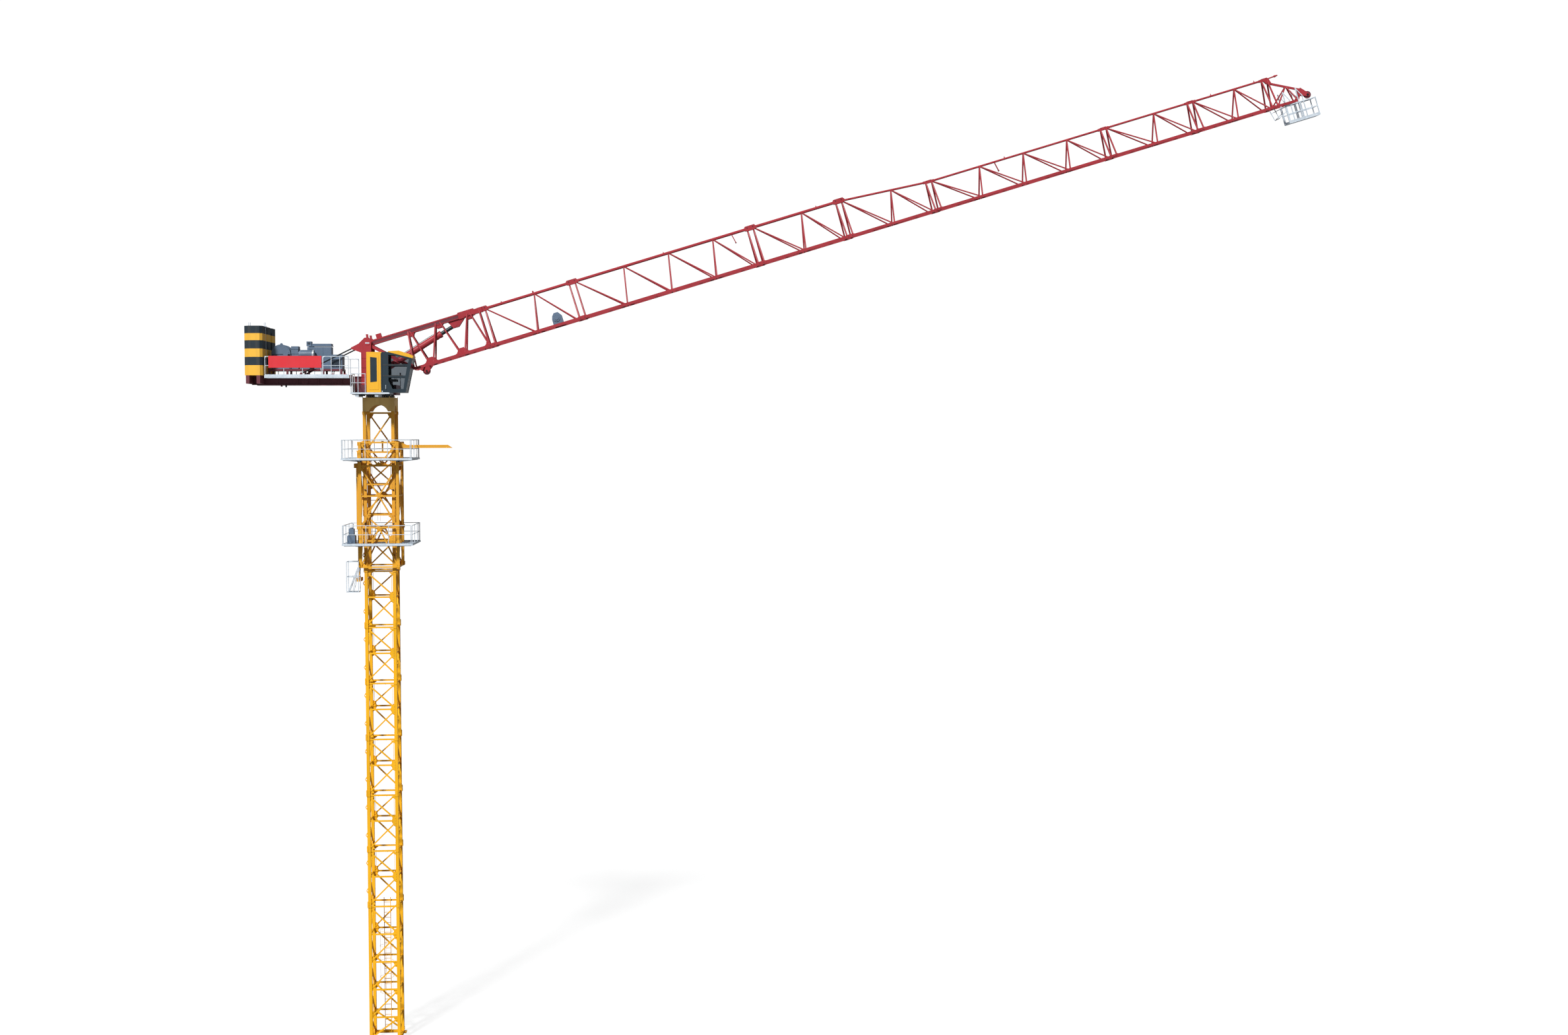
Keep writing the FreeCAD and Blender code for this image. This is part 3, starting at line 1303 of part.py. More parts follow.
def barrel_shape():
    """The cylinder's barrel with its foot eye, drawn along X from the foot pin."""
    eye = Part.makeCylinder(s.eye_radius, s.eye_width, Vector(0, -s.eye_width / 2, 0), SIDE)
    neck = block(Vector(0, -s.eye_width / 2, -s.eye_radius * 0.8),
                 Vector(s.eye_radius * 2.4, s.eye_width / 2, s.eye_radius * 0.8))
    body = Part.makeCylinder(s.cylinder_bore / 2, s.barrel_length - s.eye_radius * 2.1,
                             Vector(s.eye_radius * 2.1, 0, 0), Vector(1, 0, 0))
    gland = Part.makeCylinder(s.cylinder_bore / 2 + s.sleeve_wall, s.eye_radius,
                              Vector(s.barrel_length - s.eye_radius, 0, 0), Vector(1, 0, 0))
    bore = Part.makeCylinder(s.rod_size / 2 + s.pin_clearance, s.barrel_length,
                             Vector(s.eye_radius * 2.9, 0, 0), Vector(1, 0, 0))
    hole = Part.makeCylinder(s.eye_pin / 2 + s.pin_clearance, s.eye_width * 2, Vector(0, -s.eye_width, 0), SIDE)
    return join([eye, neck, body, gland]).cut(bore).cut(hole)


def piston_rod_shape():
    """The piston rod with its eye, drawn along X from the foot pin at the rest length."""
    reach = cylinder_line.Length
    inner_end = s.eye_radius * 3.4
    stem = Part.makeCylinder(s.rod_size / 2, reach - inner_end - s.eye_radius * 0.5,
                             Vector(inner_end, 0, 0), Vector(1, 0, 0))
    eye = Part.makeCylinder(s.eye_radius, s.eye_width, Vector(reach, -s.eye_width / 2, 0), SIDE)
    hole = Part.makeCylinder(s.eye_pin / 2, s.eye_width * 2, Vector(reach, -s.eye_width, 0), SIDE)
    return join([stem, eye]).cut(hole)


def drum_shape():
    """The hoist drum with its two flanges and bored hub, axis along Y."""
    half = s.drum_width / 2
    rim = s.cheek_plate
    bore = s.drum_axle + s.pin_clearance
    profile = [(bore, -half), (s.drum_flange, -half), (s.drum_flange, rim - half), (s.drum_radius, rim - half),
               (s.drum_radius, half - rim), (s.drum_flange, half - rim), (s.drum_flange, half), (bore, half)]
    outline = Part.makePolygon([Vector(radius, across, 0) for radius, across in profile + profile[:1]])
    return Part.Face(outline).revolve(Vector(), SIDE, 360)


# ---------------------------------------------------------------- build the tower

base_ring()
shape_node("base_section", base_section_shape(), Placement(Vector(0, 0, s.ring_height), Rotation()))
section = mast_section_shape()
for number in range(int(s.section_count)):
    level = s.base_height + number * s.section_height
    shape_node(f"mast_section_{number + 1}", section, Placement(Vector(0, 0, level), Rotation()))
shape_node("mast_ladder", ladder_shape(s.ring_height * 0.5, s.base_height + s.face_strut))
shape_node("transition_section", transition_shape(), Placement(Vector(0, 0, mast_top), Rotation()))
shape_node("slewing_pedestal", pedestal_shape(), Placement(Vector(0, 0, pedestal_foot), Rotation()))
node(rod("SlewingRing", "z", "ring_radius", "ring_thick", ("0", "0", RING_FOOT)), "slewing_ring")

cage_place = Placement(Vector(0, 0, cage_bottom), Rotation())
shape_node("cage_frame", cage_shape(), cage_place)
for name, level in (("upper", cage_bottom + s.upper_deck_rise), ("lower", cage_bottom + s.lower_deck_rise)):
    deck_place = Placement(Vector(0, 0, level), Rotation())
    shape_node(f"{name}_platform", platform_shape(), deck_place)
    rail_place = Placement(Vector(0, 0, level + s.deck_thick), Rotation())
    shape_node(f"{name}_platform_railing", platform_railing_shape(), rail_place)
shape_node("climbing_cylinder", climbing_cylinder_shape(), cage_place)
shape_node("access_basket", access_basket_shape(), cage_place)
node(box("PowerPack", ("pack_length", "pack_width", "pack_height"),
         (f"-{DECK_SIZE}/2+rail_tube*4", "-pack_width-climb_bore*3",
          f"{CAGE_BOTTOM}+lower_deck_rise+deck_thick")), "climbing_power_pack")
shape_node("monorail_beam", monorail_shape(), cage_place)

# ---------------------------------------------------------------- build the turning upperworks

turntable()
shape_node("column", column_shape())
shape_node("counter_jib_girders", counter_girders_shape())
shape_node("counter_jib_stays", stays_shape())
shape_node("counterweights", counterweights_shape())
shape_node("counter_jib_walkways", walkways_shape())
shape_node("counter_jib_railings", walkway_railings_shape())
shape_node("machinery_frame", machinery_frame_shape())
shape_node("winch_frame", winch_frame_shape())
shape_node("winch_hood", drum_hood_shape())
machinery()
shape_node("service_platform", service_platform_shape())
shape_node("service_railing", service_railing_shape())
shape_node("cab_body", cab_body_shape())
shape_node("cab_glass", cab_glass_shape())
shape_node("cab_roof", cab_roof_shape())
cab_seat()
shape_node("hoist_drum", drum_shape(), Placement(Vector(s.drum_place, 0, drum_level), Rotation()))

# ---------------------------------------------------------------- build the jib

jib_node("jib_root_section", root_section_shape())
along = s.root_length
SECTIONS = ((s.short_section, 0), (s.long_section, 0), (s.short_section, 0), (s.short_section, 1),
            (s.long_section, 2), (s.short_section, 2), (s.end_section, 2))
for number, (length, kind) in enumerate(SECTIONS, start=2):
    high = -s.taper_drop if kind == 2 else 0.0
    high_end = 0.0 if kind == 0 else -s.taper_drop
    jib_node(f"jib_section_{number}", jib_section_shape(length, high, high_end), along)
    if number == 2:
        winch_start = along + s.panel_length * 1.36
    along += length
jib_node("jib_head", jib_head_shape(), along)
jib_node("tip_basket", tip_basket_shape(), along)
nose_level = -s.taper_drop - s.nose_drop - s.sheave_radius * 0.6
nose_spot = Vector(along + s.head_length * 0.93, 0, nose_level)
shape_node("tip_sheave", sheave_shape(), Placement(hinge + jib_turn.multVec(nose_spot), jib_turn))
sheave_spot = Vector(root_sheave_along, 0, root_sheave_level)
shape_node("root_sheave", sheave_shape(), Placement(hinge + jib_turn.multVec(sheave_spot), jib_turn))
winch_seat = lower + s.web_tube * 0.45 + s.solid_gap
winch = block(Vector(0, -half_width * 0.48, winch_seat),
              Vector(s.winch_length, half_width * 0.48, winch_seat + s.winch_height))
jib_node("jib_winch", winch, winch_start)

# ---------------------------------------------------------------- build the luffing cylinder

cylinder_place = Placement(cylinder_foot, cylinder_turn)
shape_node("luffing_cylinder_barrel", barrel_shape(), cylinder_place)
shape_node("luffing_cylinder_rod", piston_rod_shape(), cylinder_place)

# ---------------------------------------------------------------- check and write

doc.recompute()
os.makedirs("parts", exist_ok=True)
for part in sub_parts:
    if "Invalid" in part.State or "Error" in part.State or part.Shape.isNull() or not part.Shape.isValid():
        raise RuntimeError(f"{part.Label} has no sound shape")
for part in sub_parts:
    part.Shape.exportStep(f"parts/{part.Label}.step")
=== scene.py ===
"""The looks of a half-size luffing tower crane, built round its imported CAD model. Blender 4.5, metres."""

import json
import math

import bmesh
import bpy
from mathutils import Matrix, Vector


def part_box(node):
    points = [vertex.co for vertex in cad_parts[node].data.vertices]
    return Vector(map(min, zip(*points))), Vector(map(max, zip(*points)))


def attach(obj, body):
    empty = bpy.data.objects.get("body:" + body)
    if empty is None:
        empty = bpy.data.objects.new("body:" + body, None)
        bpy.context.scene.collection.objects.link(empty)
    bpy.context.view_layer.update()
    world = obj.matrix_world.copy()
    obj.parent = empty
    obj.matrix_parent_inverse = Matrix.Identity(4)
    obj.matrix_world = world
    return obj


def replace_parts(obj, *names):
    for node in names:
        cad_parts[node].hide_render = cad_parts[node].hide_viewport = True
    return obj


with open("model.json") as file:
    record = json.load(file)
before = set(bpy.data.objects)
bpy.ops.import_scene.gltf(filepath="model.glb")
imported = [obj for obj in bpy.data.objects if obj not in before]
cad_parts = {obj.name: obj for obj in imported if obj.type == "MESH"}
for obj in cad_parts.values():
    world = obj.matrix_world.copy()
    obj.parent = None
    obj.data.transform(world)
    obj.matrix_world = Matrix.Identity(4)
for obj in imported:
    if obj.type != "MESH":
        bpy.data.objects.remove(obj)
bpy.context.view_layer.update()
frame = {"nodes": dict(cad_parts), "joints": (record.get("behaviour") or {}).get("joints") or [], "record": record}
nodes = frame["nodes"]
joints = {joint["name"]: joint for joint in frame["joints"]}

X, Y, Z = Vector((1, 0, 0)), Vector((0, 1, 0)), Vector((0, 0, 1))
SIDES = (-1, 1)
REST_ANGLE = math.radians(17)


def joint_place(name):
    """Where a joint stands."""
    return Vector(joints[name]["pos_m"])


HINGE = joint_place("jib_luffing")
JIB = Matrix.Translation(HINGE) @ Matrix.Rotation(-REST_ANGLE, 4, "Y")


# ---- materials

class Look:
    """A material being made: its node tree, its shader and object coordinates in metres."""

    def __init__(self, name):
        self.material = bpy.data.materials.new(name)
        self.material.use_nodes = True
        self.tree = self.material.node_tree
        self.shader = self.tree.nodes["Principled BSDF"]
        self.place = self.tree.nodes.new("ShaderNodeTexCoord").outputs["Object"]

    def feed(self, socket, value):
        """Link an input to an output, or set it to a number, a vector or a colour."""
        if isinstance(value, bpy.types.NodeSocket):
            self.tree.links.new(value, socket)
        elif socket.type == "RGBA":
            socket.default_value = (*value, 1)
        else:
            socket.default_value = value

    def set(self, node, **values):
        """Feed a node's inputs by name, with _ for a space."""
        for name, value in values.items():
            self.feed(node.inputs[name.replace("_", " ")], value)

    def node(self, kind, **values):
        """A new node with its inputs fed by name."""
        made = self.tree.nodes.new("ShaderNode" + kind)
        self.set(made, **values)
        return made

    def noise(self, scale, detail=3.0, stretch=(1, 1, 1)):
        """A noise texture's factor, stretched along the axes."""
        place = self.node("Mapping", Vector=self.place, Scale=stretch).outputs["Vector"]
        return self.node("TexNoise", Vector=place, Scale=scale, Detail=detail).outputs["Fac"]

    def ramp(self, factor, *stops):
        """A colour ramp's colour; each stop is its place and a colour or a grey."""
        node = self.node("ValToRGB", Fac=factor)
        elements = node.color_ramp.elements
        while len(elements) < len(stops):
            elements.new(0.5)
        for element, (spot, colour) in zip(elements, stops):
            element.position = spot
            element.color = (*colour, 1) if isinstance(colour, tuple) else (colour, colour, colour, 1)
        return node.outputs["Color"]

    def mix(self, factor, first, second, kind="MIX"):
        """Mix two colours on the Mix node's colour sockets."""
        node = self.tree.nodes.new("ShaderNodeMix")
        node.data_type = "RGBA"
        node.blend_type = kind
        for name, sort, value in (("Factor", "VALUE", factor), ("A", "RGBA", first), ("B", "RGBA", second)):
            self.feed(next(s for s in node.inputs if s.name == name and s.type == sort), value)
        return next(s for s in node.outputs if s.type == "RGBA")

    def height(self, low, high):
        """How far up a point is between two levels, from 0 to 1."""
        level = self.node("SeparateXYZ", Vector=self.place).outputs["Z"]
        return self.node("MapRange", From_Min=low, From_Max=high, Value=level).outputs["Result"]

    def done(self, relief, strength, distance, **values):
        """Bump the surface by a relief in metres, feed the shader and give the material."""
        bump = self.node("Bump", Strength=strength, Distance=distance, Height=relief)
        self.set(self.shader, Normal=bump.outputs["Normal"], **values)
        return self.material


def darker(colour, share):
    """A colour at a share of its brightness."""
    return tuple(value * share for value in colour)


def paint(name, colour, rough=0.4, spread=0.12, dirt=0.22, gloss=0.3, coat=0.0, aloft=None):
    """Sprayed paint on steel: patches of tone, rain streaks, dust specks and a fine orange peel.

    aloft gives two heights and the duller colour that the paint reaches between them.
    """
    look = Look(name)
    tone = look.mix(look.ramp(look.noise(1.7), (0.35, 0.0), (0.65, 1.0)), darker(colour, 1 - spread), colour)
    if aloft:
        low, high, faded = aloft
        tone = look.mix(look.height(low, high), tone, faded)
    streaks = look.ramp(look.noise(7.0, 5.0, (1, 1, 0.06)), (0.52, 0.0), (0.78, dirt))
    streaked = look.mix(streaks, tone, darker(colour, 0.45))
    specks = look.ramp(look.noise(60.0, 2.0), (0.68, 0.0), (0.74, 0.35))
    wear = look.ramp(look.noise(4.0, 6.0), (0.3, rough * 0.85), (0.7, min(rough * 1.3, 1)))
    return look.done(look.noise(350.0, 1.0), 0.25, 0.0006, Roughness=wear, Specular_IOR_Level=gloss,
                     Coat_Weight=coat, Coat_Roughness=0.2,
                     Base_Color=look.mix(specks, streaked, darker(colour, 0.6)))


def galvanised(name, colour):
    """Zinc-dipped steel: crystals of slightly different greys, a soft metal sheen and white bloom."""
    look = Look(name)
    cells = look.node("TexVoronoi", Scale=28.0, Vector=look.place).outputs["Color"]
    spangle = look.ramp(cells, (0.0, darker(colour, 0.86)), (1.0, colour))
    bloom = look.ramp(look.noise(5.0, 5.0), (0.45, 0.0), (0.8, 0.5))
    return look.done(look.noise(200.0, 2.0), 0.2, 0.0004, Metallic=0.25,
                     Base_Color=look.mix(bloom, spangle, (0.86, 0.9, 0.94)),
                     Roughness=look.ramp(cells, (0.0, 0.38), (1.0, 0.55)))


def rubber(name, colour, rough=0.6):
    """Black plastic, rubber and cloth with a fine grain and a little dust."""
    look = Look(name)
    dust = look.ramp(look.noise(12.0, 6.0), (0.45, 0.0), (0.85, 0.35))
    grain = look.noise(420.0, 2.0)
    return look.done(grain, 0.35, 0.0005, Base_Color=look.mix(dust, colour, (0.12, 0.115, 0.11)),
                     Roughness=look.ramp(grain, (0.3, rough * 0.85), (0.7, rough * 1.15)))


def steel(name, colour, rough=0.3):
    """Bare or blackened steel with fine turning marks."""
    look = Look(name)
    marks = look.noise(30.0, 4.0, (1, 1, 14))
    return look.done(marks, 0.15, 0.0003, Metallic=0.85,
                     Base_Color=look.ramp(marks, (0.3, darker(colour, 0.7)), (0.7, colour)),
                     Roughness=look.ramp(marks, (0.3, rough * 0.8), (0.7, rough * 1.4)))


def window_glass(name):
    """Tinted safety glass with a faint film of dust."""
    look = Look(name)
    dust = look.ramp(look.noise(9.0, 5.0), (0.4, (0.74, 0.79, 0.84)), (0.8, (0.82, 0.86, 0.89)))
    film = look.ramp(look.noise(14.0, 4.0), (0.4, 0.02), (0.8, 0.09))
    look.set(look.shader, Base_Color=dust, Roughness=film, Transmission_Weight=1.0, IOR=1.12,
             Specular_IOR_Level=0.5)
    return look.material


def cab_shell(name, edge):
    """The cab's paint: yellow behind the edge and slate in front of it."""
    look = Look(name)
    ahead = look.node("Math", Value=look.node("SeparateXYZ", Vector=look.place).outputs["X"])
    ahead.operation = "GREATER_THAN"
    ahead.inputs[1].default_value = edge
    tone = look.mix(ahead.outputs["Value"], CAB_PAINT, CAB_SLATE)
    patches = look.ramp(look.noise(1.7), (0.35, 0.92), (0.65, 1.0))
    wear = look.ramp(look.noise(4.0, 6.0), (0.3, 0.22), (0.7, 0.36))
    return look.done(look.noise(350.0, 1.0), 0.25, 0.0006, Roughness=wear, Specular_IOR_Level=0.3,
                     Coat_Weight=0.25, Coat_Roughness=0.2,
                     Base_Color=look.mix(1.0, tone, patches, "MULTIPLY"))


def banded_ballast(name, low, high):
    """Painted concrete: bands of slate and yellow by height, with pores and rain streaks."""
    look = Look(name)
    slate, yellow = (0.022, 0.035, 0.047), (0.86, 0.48, 0.06)
    foot, band = 0.2, 0.84 / 5
    edges = [0.0] + [foot + band * count for count in (0, 1, 2, 3, 3.85)]
    stops = [(edge, slate if number % 2 else yellow) for number, edge in enumerate(edges)]
    colours = look.ramp(look.height(low, high), *stops)
    colours.node.color_ramp.interpolation = "CONSTANT"
    streaks = look.ramp(look.noise(6.0, 5.0, (1, 1, 0.08)), (0.5, 0.0), (0.8, 0.2))
    weathered = look.mix(streaks, colours, (0.2, 0.16, 0.1))
    pores = look.noise(70.0, 6.0)
    specks = look.ramp(pores, (0.62, 0.0), (0.72, 0.25))
    return look.done(pores, 0.4, 0.003, Roughness=0.62, Specular_IOR_Level=0.2,
                     Base_Color=look.mix(specks, weathered, (0.25, 0.2, 0.14)))


# A finish is a material and the record's slot that it belongs to.
CAB_PAINT, CAB_SLATE = (0.86, 0.45, 0.035), (0.026, 0.042, 0.055)
DOOR_POST = 0.39
cab_low, cab_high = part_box("cab_body")
weights_low, weights_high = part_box("counterweights")
MAST_YELLOW = (paint("mast_paint", (0.88, 0.445, 0.014), rough=0.42, spread=0.1, dirt=0.25, gloss=0.2,
                     aloft=(11.5, 13.6, (0.7, 0.34, 0.035))), "mast_yellow")
PEDESTAL_YELLOW = (paint("pedestal_paint", (0.86, 0.57, 0.2), rough=0.5, spread=0.16, dirt=0.4, gloss=0.2),
                   "mast_yellow")
CAB_YELLOW = (paint("cab_paint", CAB_PAINT, rough=0.26, spread=0.03, dirt=0.06, coat=0.25), "cab_yellow")
CAB_DARK = (paint("cab_slate", CAB_SLATE, rough=0.34, spread=0.1, dirt=0.1), "seat_black")
JIB_RED = (paint("jib_paint", (0.38, 0.034, 0.046), rough=0.38, spread=0.12, dirt=0.2), "jib_red")
GIRDER_RED = (paint("girder_paint", (0.16, 0.045, 0.06), rough=0.4, spread=0.16, dirt=0.25), "girder_red")
SIGN_RED = (paint("panel_paint", (0.7, 0.04, 0.052), rough=0.38, spread=0.05, dirt=0.08), "sign_red")
MACHINE_GREY = (paint("machine_paint", (0.125, 0.18, 0.26), rough=0.42, spread=0.12, dirt=0.2),
                "machine_grey")
MACHINE_DARK = (paint("machine_dark_paint", (0.04, 0.055, 0.075), rough=0.5, spread=0.15, dirt=0.2),
                "machine_grey")
ZINC = (galvanised("galvanised_steel", (0.62, 0.7, 0.78)), "galvanised")
ZINC_DARK = (galvanised("galvanised_grating", (0.34, 0.39, 0.44)), "galvanised")
BLACK_STEEL = (steel("black_steel", (0.045, 0.055, 0.06), rough=0.34), "dark_steel")
BRIGHT_STEEL = (steel("bright_steel", (0.55, 0.56, 0.58), rough=0.26), "dark_steel")
BLACK_RUBBER = (rubber("black_rubber", (0.02, 0.022, 0.025)), "seat_black")
SEAT_CLOTH = (rubber("seat_cloth", (0.03, 0.032, 0.036), rough=0.85), "seat_black")
GLASS = (window_glass("cab_window_glass"), "cab_glass")
BALLAST = (banded_ballast("ballast_paint", weights_low.z, weights_high.z), "ballast")
CAB_SHELL = (cab_shell("cab_shell_paint", cab_low.x + DOOR_POST), "cab_yellow")

SLOT_FINISHES = {finish[1]: finish for finish in (
    MAST_YELLOW, CAB_YELLOW, GLASS, SEAT_CLOTH, BALLAST, ZINC, MACHINE_GREY, BLACK_STEEL, SIGN_RED,
    GIRDER_RED, JIB_RED)}
NODE_FINISHES = {"cab_body": CAB_SHELL, "slewing_pedestal": PEDESTAL_YELLOW, "tip_sheave": GIRDER_RED,
                 "root_sheave": GIRDER_RED}
for subpart in frame["record"]["subparts"]:
    finish = NODE_FINISHES.get(subpart["node"], SLOT_FINISHES[subpart["material_slot"]])
    mesh = nodes[subpart["node"]].data
    if not mesh.materials:
        mesh.materials.append(finish[0])
    for index in range(len(mesh.materials)):
        mesh.materials[index] = finish[0]


# ---- making pieces

def sweep(steps, first=0.0, last=math.tau):
    """Angles from first to last."""
    return [first + (last - first) * step / steps for step in range(steps + 1)]


def around(count):
    """Equally spaced angles of a whole turn."""
    return sweep(count)[:-1]


def polar(turn, first=X, second=Z):
    """A unit vector turned from the first axis towards the second."""
    return first * math.cos(turn) + second * math.sin(turn)


unfinished = []


class Piece:
    def __init__(self, name, body, finish, place=None, slot=None, bevel=0.0):
        self.name, self.body, self.bevel = name, body, bevel
        self.material, self.slot = finish[0], slot or finish[1]
        self.place = place or Matrix.Identity(4)
        self.mesh = bmesh.new()
        unfinished.append(self)

    def solid(self, corners, faces):
        """A closed solid from its corners and faces."""
        made = [self.mesh.verts.new(self.place @ Vector(corner)) for corner in corners]
        for face in faces:
            self.mesh.faces.new([made[index] for index in face])

    def prism(self, outline, offset):
        """An outline pushed along an offset."""
        count = len(outline)
        low = [Vector(point) for point in outline]
        sides = [(i, (i + 1) % count, count + (i + 1) % count, count + i) for i in range(count)]
        ends = [tuple(reversed(range(count))), tuple(range(count, 2 * count))]
        self.solid(low + [point + offset for point in low], ends + sides)

    def plate(self, outline, y, thick, at=(0.0, 0.0), size=1.0):
        """An upright plate from (x, z) points round a place, pushed along Y."""
        self.prism([(at[0] + x * size, y, at[1] + z * size) for x, z in outline], Y * thick)

    def box(self, first, last):
        """A box between two opposite corners."""
        (x0, y0, z0), (x1, y1, z1) = first, last
        self.prism([(x0, y0, z0), (x1, y0, z0), (x1, y1, z0), (x0, y1, z0)], Z * (z1 - z0))

    def bar(self, start, end, width, deep=None, across=Y):
        """A rectangular bar; across is the way its width lies."""
        start, end = Vector(start), Vector(end)
        along = (end - start).normalized()
        side = (across - along * across.dot(along)).normalized() * width / 2
        rise = along.cross(side).normalized() * (deep or width) / 2
        outline = [start - side - rise, start + side - rise, start + side + rise, start - side + rise]
        self.prism(outline, end - start)

    def tube(self, points, radius, sides=8, end_radius=None):
        """A round bar along points; its last ring can have a radius of its own."""
        points = [Vector(point) for point in points]
        radii = [radius] * (len(points) - 1) + [radius if end_radius is None else end_radius]
        side = (points[1] - points[0]).orthogonal().normalized()
        corners = []
        for index, point in enumerate(points):
            along = (points[min(index + 1, len(points) - 1)] - points[max(index - 1, 0)]).normalized()
            side = (side - along * side.dot(along)).normalized()
            rise = along.cross(side)
            corners += [point + polar(turn, side, rise) * radii[index] for turn in around(sides)]
        last = (len(points) - 1) * sides
        faces = [tuple(reversed(range(sides))), tuple(range(last, last + sides))]
        for ring in range(0, last, sides):
            for i in range(sides):
                j = (i + 1) % sides
                faces.append((ring + i, ring + j, ring + sides + j, ring + sides + i))
        self.solid(corners, faces)

    def rod(self, start, end, radius, sides=10, end_radius=None):
        """A round rod, or a cone when the end's radius differs."""
        self.tube([start, end], radius, sides, end_radius)

    def cross_rod(self, centre, half, radius, sides=14):
        """A round rod along Y through a centre."""
        centre = Vector(centre)
        self.rod(centre - Y * half, centre + Y * half, radius, sides)

    def hoop(self, centre, radius, thick, first=0.0, last=math.tau, steps=24, normal=Z):
        """A round bar bent to an arc about the normal."""
        centre, across = Vector(centre), normal.cross(X)
        self.tube([centre + polar(t, X, across) * radius for t in sweep(steps, first, last)], thick, 6)

    def bolt(self, centre, normal, size):
        """A hexagon head with its washer."""
        centre, normal = Vector(centre), Vector(normal)
        self.rod(centre, centre + normal * size * 0.16, size * 0.75, 12)
        self.rod(centre + normal * size * 0.16, centre + normal * size * 0.7, size * 0.52, 6)

    def finish(self):
        """Make the object, give it its material and let it ride."""
        unfinished.remove(self)
        bmesh.ops.recalc_face_normals(self.mesh, faces=self.mesh.faces)
        mesh = bpy.data.meshes.new(self.name)
        self.mesh.to_mesh(mesh)
        self.mesh.free()
        mesh.materials.append(self.material)
        for polygon in mesh.polygons:
            polygon.use_smooth = len(polygon.vertices) == 4
        mesh.set_sharp_from_angle(angle=math.radians(32))
        made = bpy.data.objects.new(self.name, mesh)
        bpy.context.scene.collection.objects.link(made)
        if self.bevel:
            edge = made.modifiers.new("rounded_edges", "BEVEL")
            edge.width = self.bevel
            edge.segments = 2
            edge.limit_method = "ANGLE"
            edge.angle_limit = math.radians(40)
        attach(made, self.body)
        return made


def settle(low, high, *pieces):
    """Measure pieces from a box's low corner; gives the box's size."""
    for piece in pieces:
        piece.place = Matrix.Translation(low)
    return high - low


def quarter_turns(*pieces):
    """Turn pieces to each of the four faces of the mast, and back again."""
    for quarter in range(4):
        for piece in pieces:
            piece.place = Matrix.Rotation(math.radians(90 * quarter), 4, "Z")
        yield quarter
    for piece in pieces:
        piece.place = Matrix.Identity(4)


# ---- mast

section_low, section_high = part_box("mast_section_1")
LEG = 0.084
LEG_CENTRE = section_high.x - LEG / 2 - 0.009
OUTER, INNER = LEG_CENTRE + LEG / 2, LEG_CENTRE - LEG / 2
section_height = section_high.z - section_low.z
joint_levels = [section_low.z + section_height * number for number in range(9)]


def mast_bolts():
    """A split housing with its long bolt on each leg at every joint between sections."""
    housings = Piece("mast_joint_bolts", "tower", MAST_YELLOW)
    bolts = Piece("mast_bolt_heads", "tower", MAST_YELLOW)
    for level in joint_levels:
        for _ in quarter_turns(housings, bolts):
            for side in SIDES:
                spot = Vector((side * (LEG_CENTRE + LEG * 0.3), -OUTER - 0.01, level))
                housings.rod(spot - Z * 0.075, spot - Z * 0.004, 0.011, 8)
                housings.rod(spot + Z * 0.004, spot + Z * 0.075, 0.011, 8)
                bolts.rod(spot - Z * 0.09, spot + Z * 0.09, 0.006, 6)


def mast_gussets():
    """A drilled plate at each section's middle, a corner plate near its top and a thin bar between them; dark
    discs of painted shade stand for the holes.
    """
    plates = Piece("mast_leg_plates", "tower", MAST_YELLOW)
    painted_hole_shade = Piece("mast_plate_painted_hole_shade", "tower", MACHINE_DARK)
    face, thick = -OUTER, 0.006
    middle_plate = ((0.03, -0.13), (0.03, 0.14), (-0.075, 0.11), (-0.075, -0.02), (-0.02, -0.13))
    corner_plate = ((0.02, -0.17), (0.02, -0.08), (-0.09, -0.08), (-0.09, -0.1))
    for bottom in joint_levels[:-1]:
        middle = bottom + section_height / 2
        top = bottom + section_height
        for _ in quarter_turns(plates, painted_hole_shade):
            plates.plate(middle_plate, face, -thick, (INNER, middle))
            plates.plate(corner_plate, face, -thick, (INNER, top))
            spot = Vector((INNER - 0.03, face + 0.012, 0))
            plates.bar(spot + Z * (middle + 0.1), spot + Z * (top - 0.09), 0.009)
            # Dark discs: painted shade of the holes in the middle plate.
            for rise in (-0.07, 0.0, 0.07):
                spot = Vector((INNER + 0.012, face - thick, middle + rise))
                painted_hole_shade.rod(spot, spot - Y * 0.001, 0.0065)
            # Dark discs: painted shade of two holes near the section's top.
            for along in (-0.11, 0.11):
                painted_hole_shade.rod((along, face + 0.004, top - 0.072), (along, face - 0.001, top - 0.072), 0.006)


def ladder_hoops():
    """Safety hoops with three straps round the ladder, and three hoops with two straps inside the cage."""
    piece = Piece("ladder_hoops", "tower", MAST_YELLOW)
    radius = 0.185
    centre = Vector((0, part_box("mast_ladder")[0].y - radius * 0.9, 0))
    levels = [1.2 + 0.42 * number for number in range(5)]
    opening = math.radians(38)
    for level in levels:
        piece.hoop(centre + Z * level, radius, 0.0035, math.pi / 2 + opening, math.pi * 2.5 - opening, 20)
    for turn in (-30, -90, -150):
        spot = centre + polar(math.radians(turn), X, Y) * radius
        along = Vector((-spot.y, spot.x, 0))
        piece.bar(spot + Z * levels[0], spot + Z * levels[-1], 0.008, 0.003, across=along)
    middle = Vector((-0.15, LEG_CENTRE - radius, 0))
    for level in (14.14, 14.51, 14.9):
        piece.hoop(middle + Z * level, radius, 0.0045, steps=20)
    for spot in (middle + Y * radius, middle + X * radius * 0.6 - Y * radius * 0.8):
        piece.bar(spot + Z * 13.95, spot + Z * 15.05, 0.01, 0.004)


# ---- decks and railings

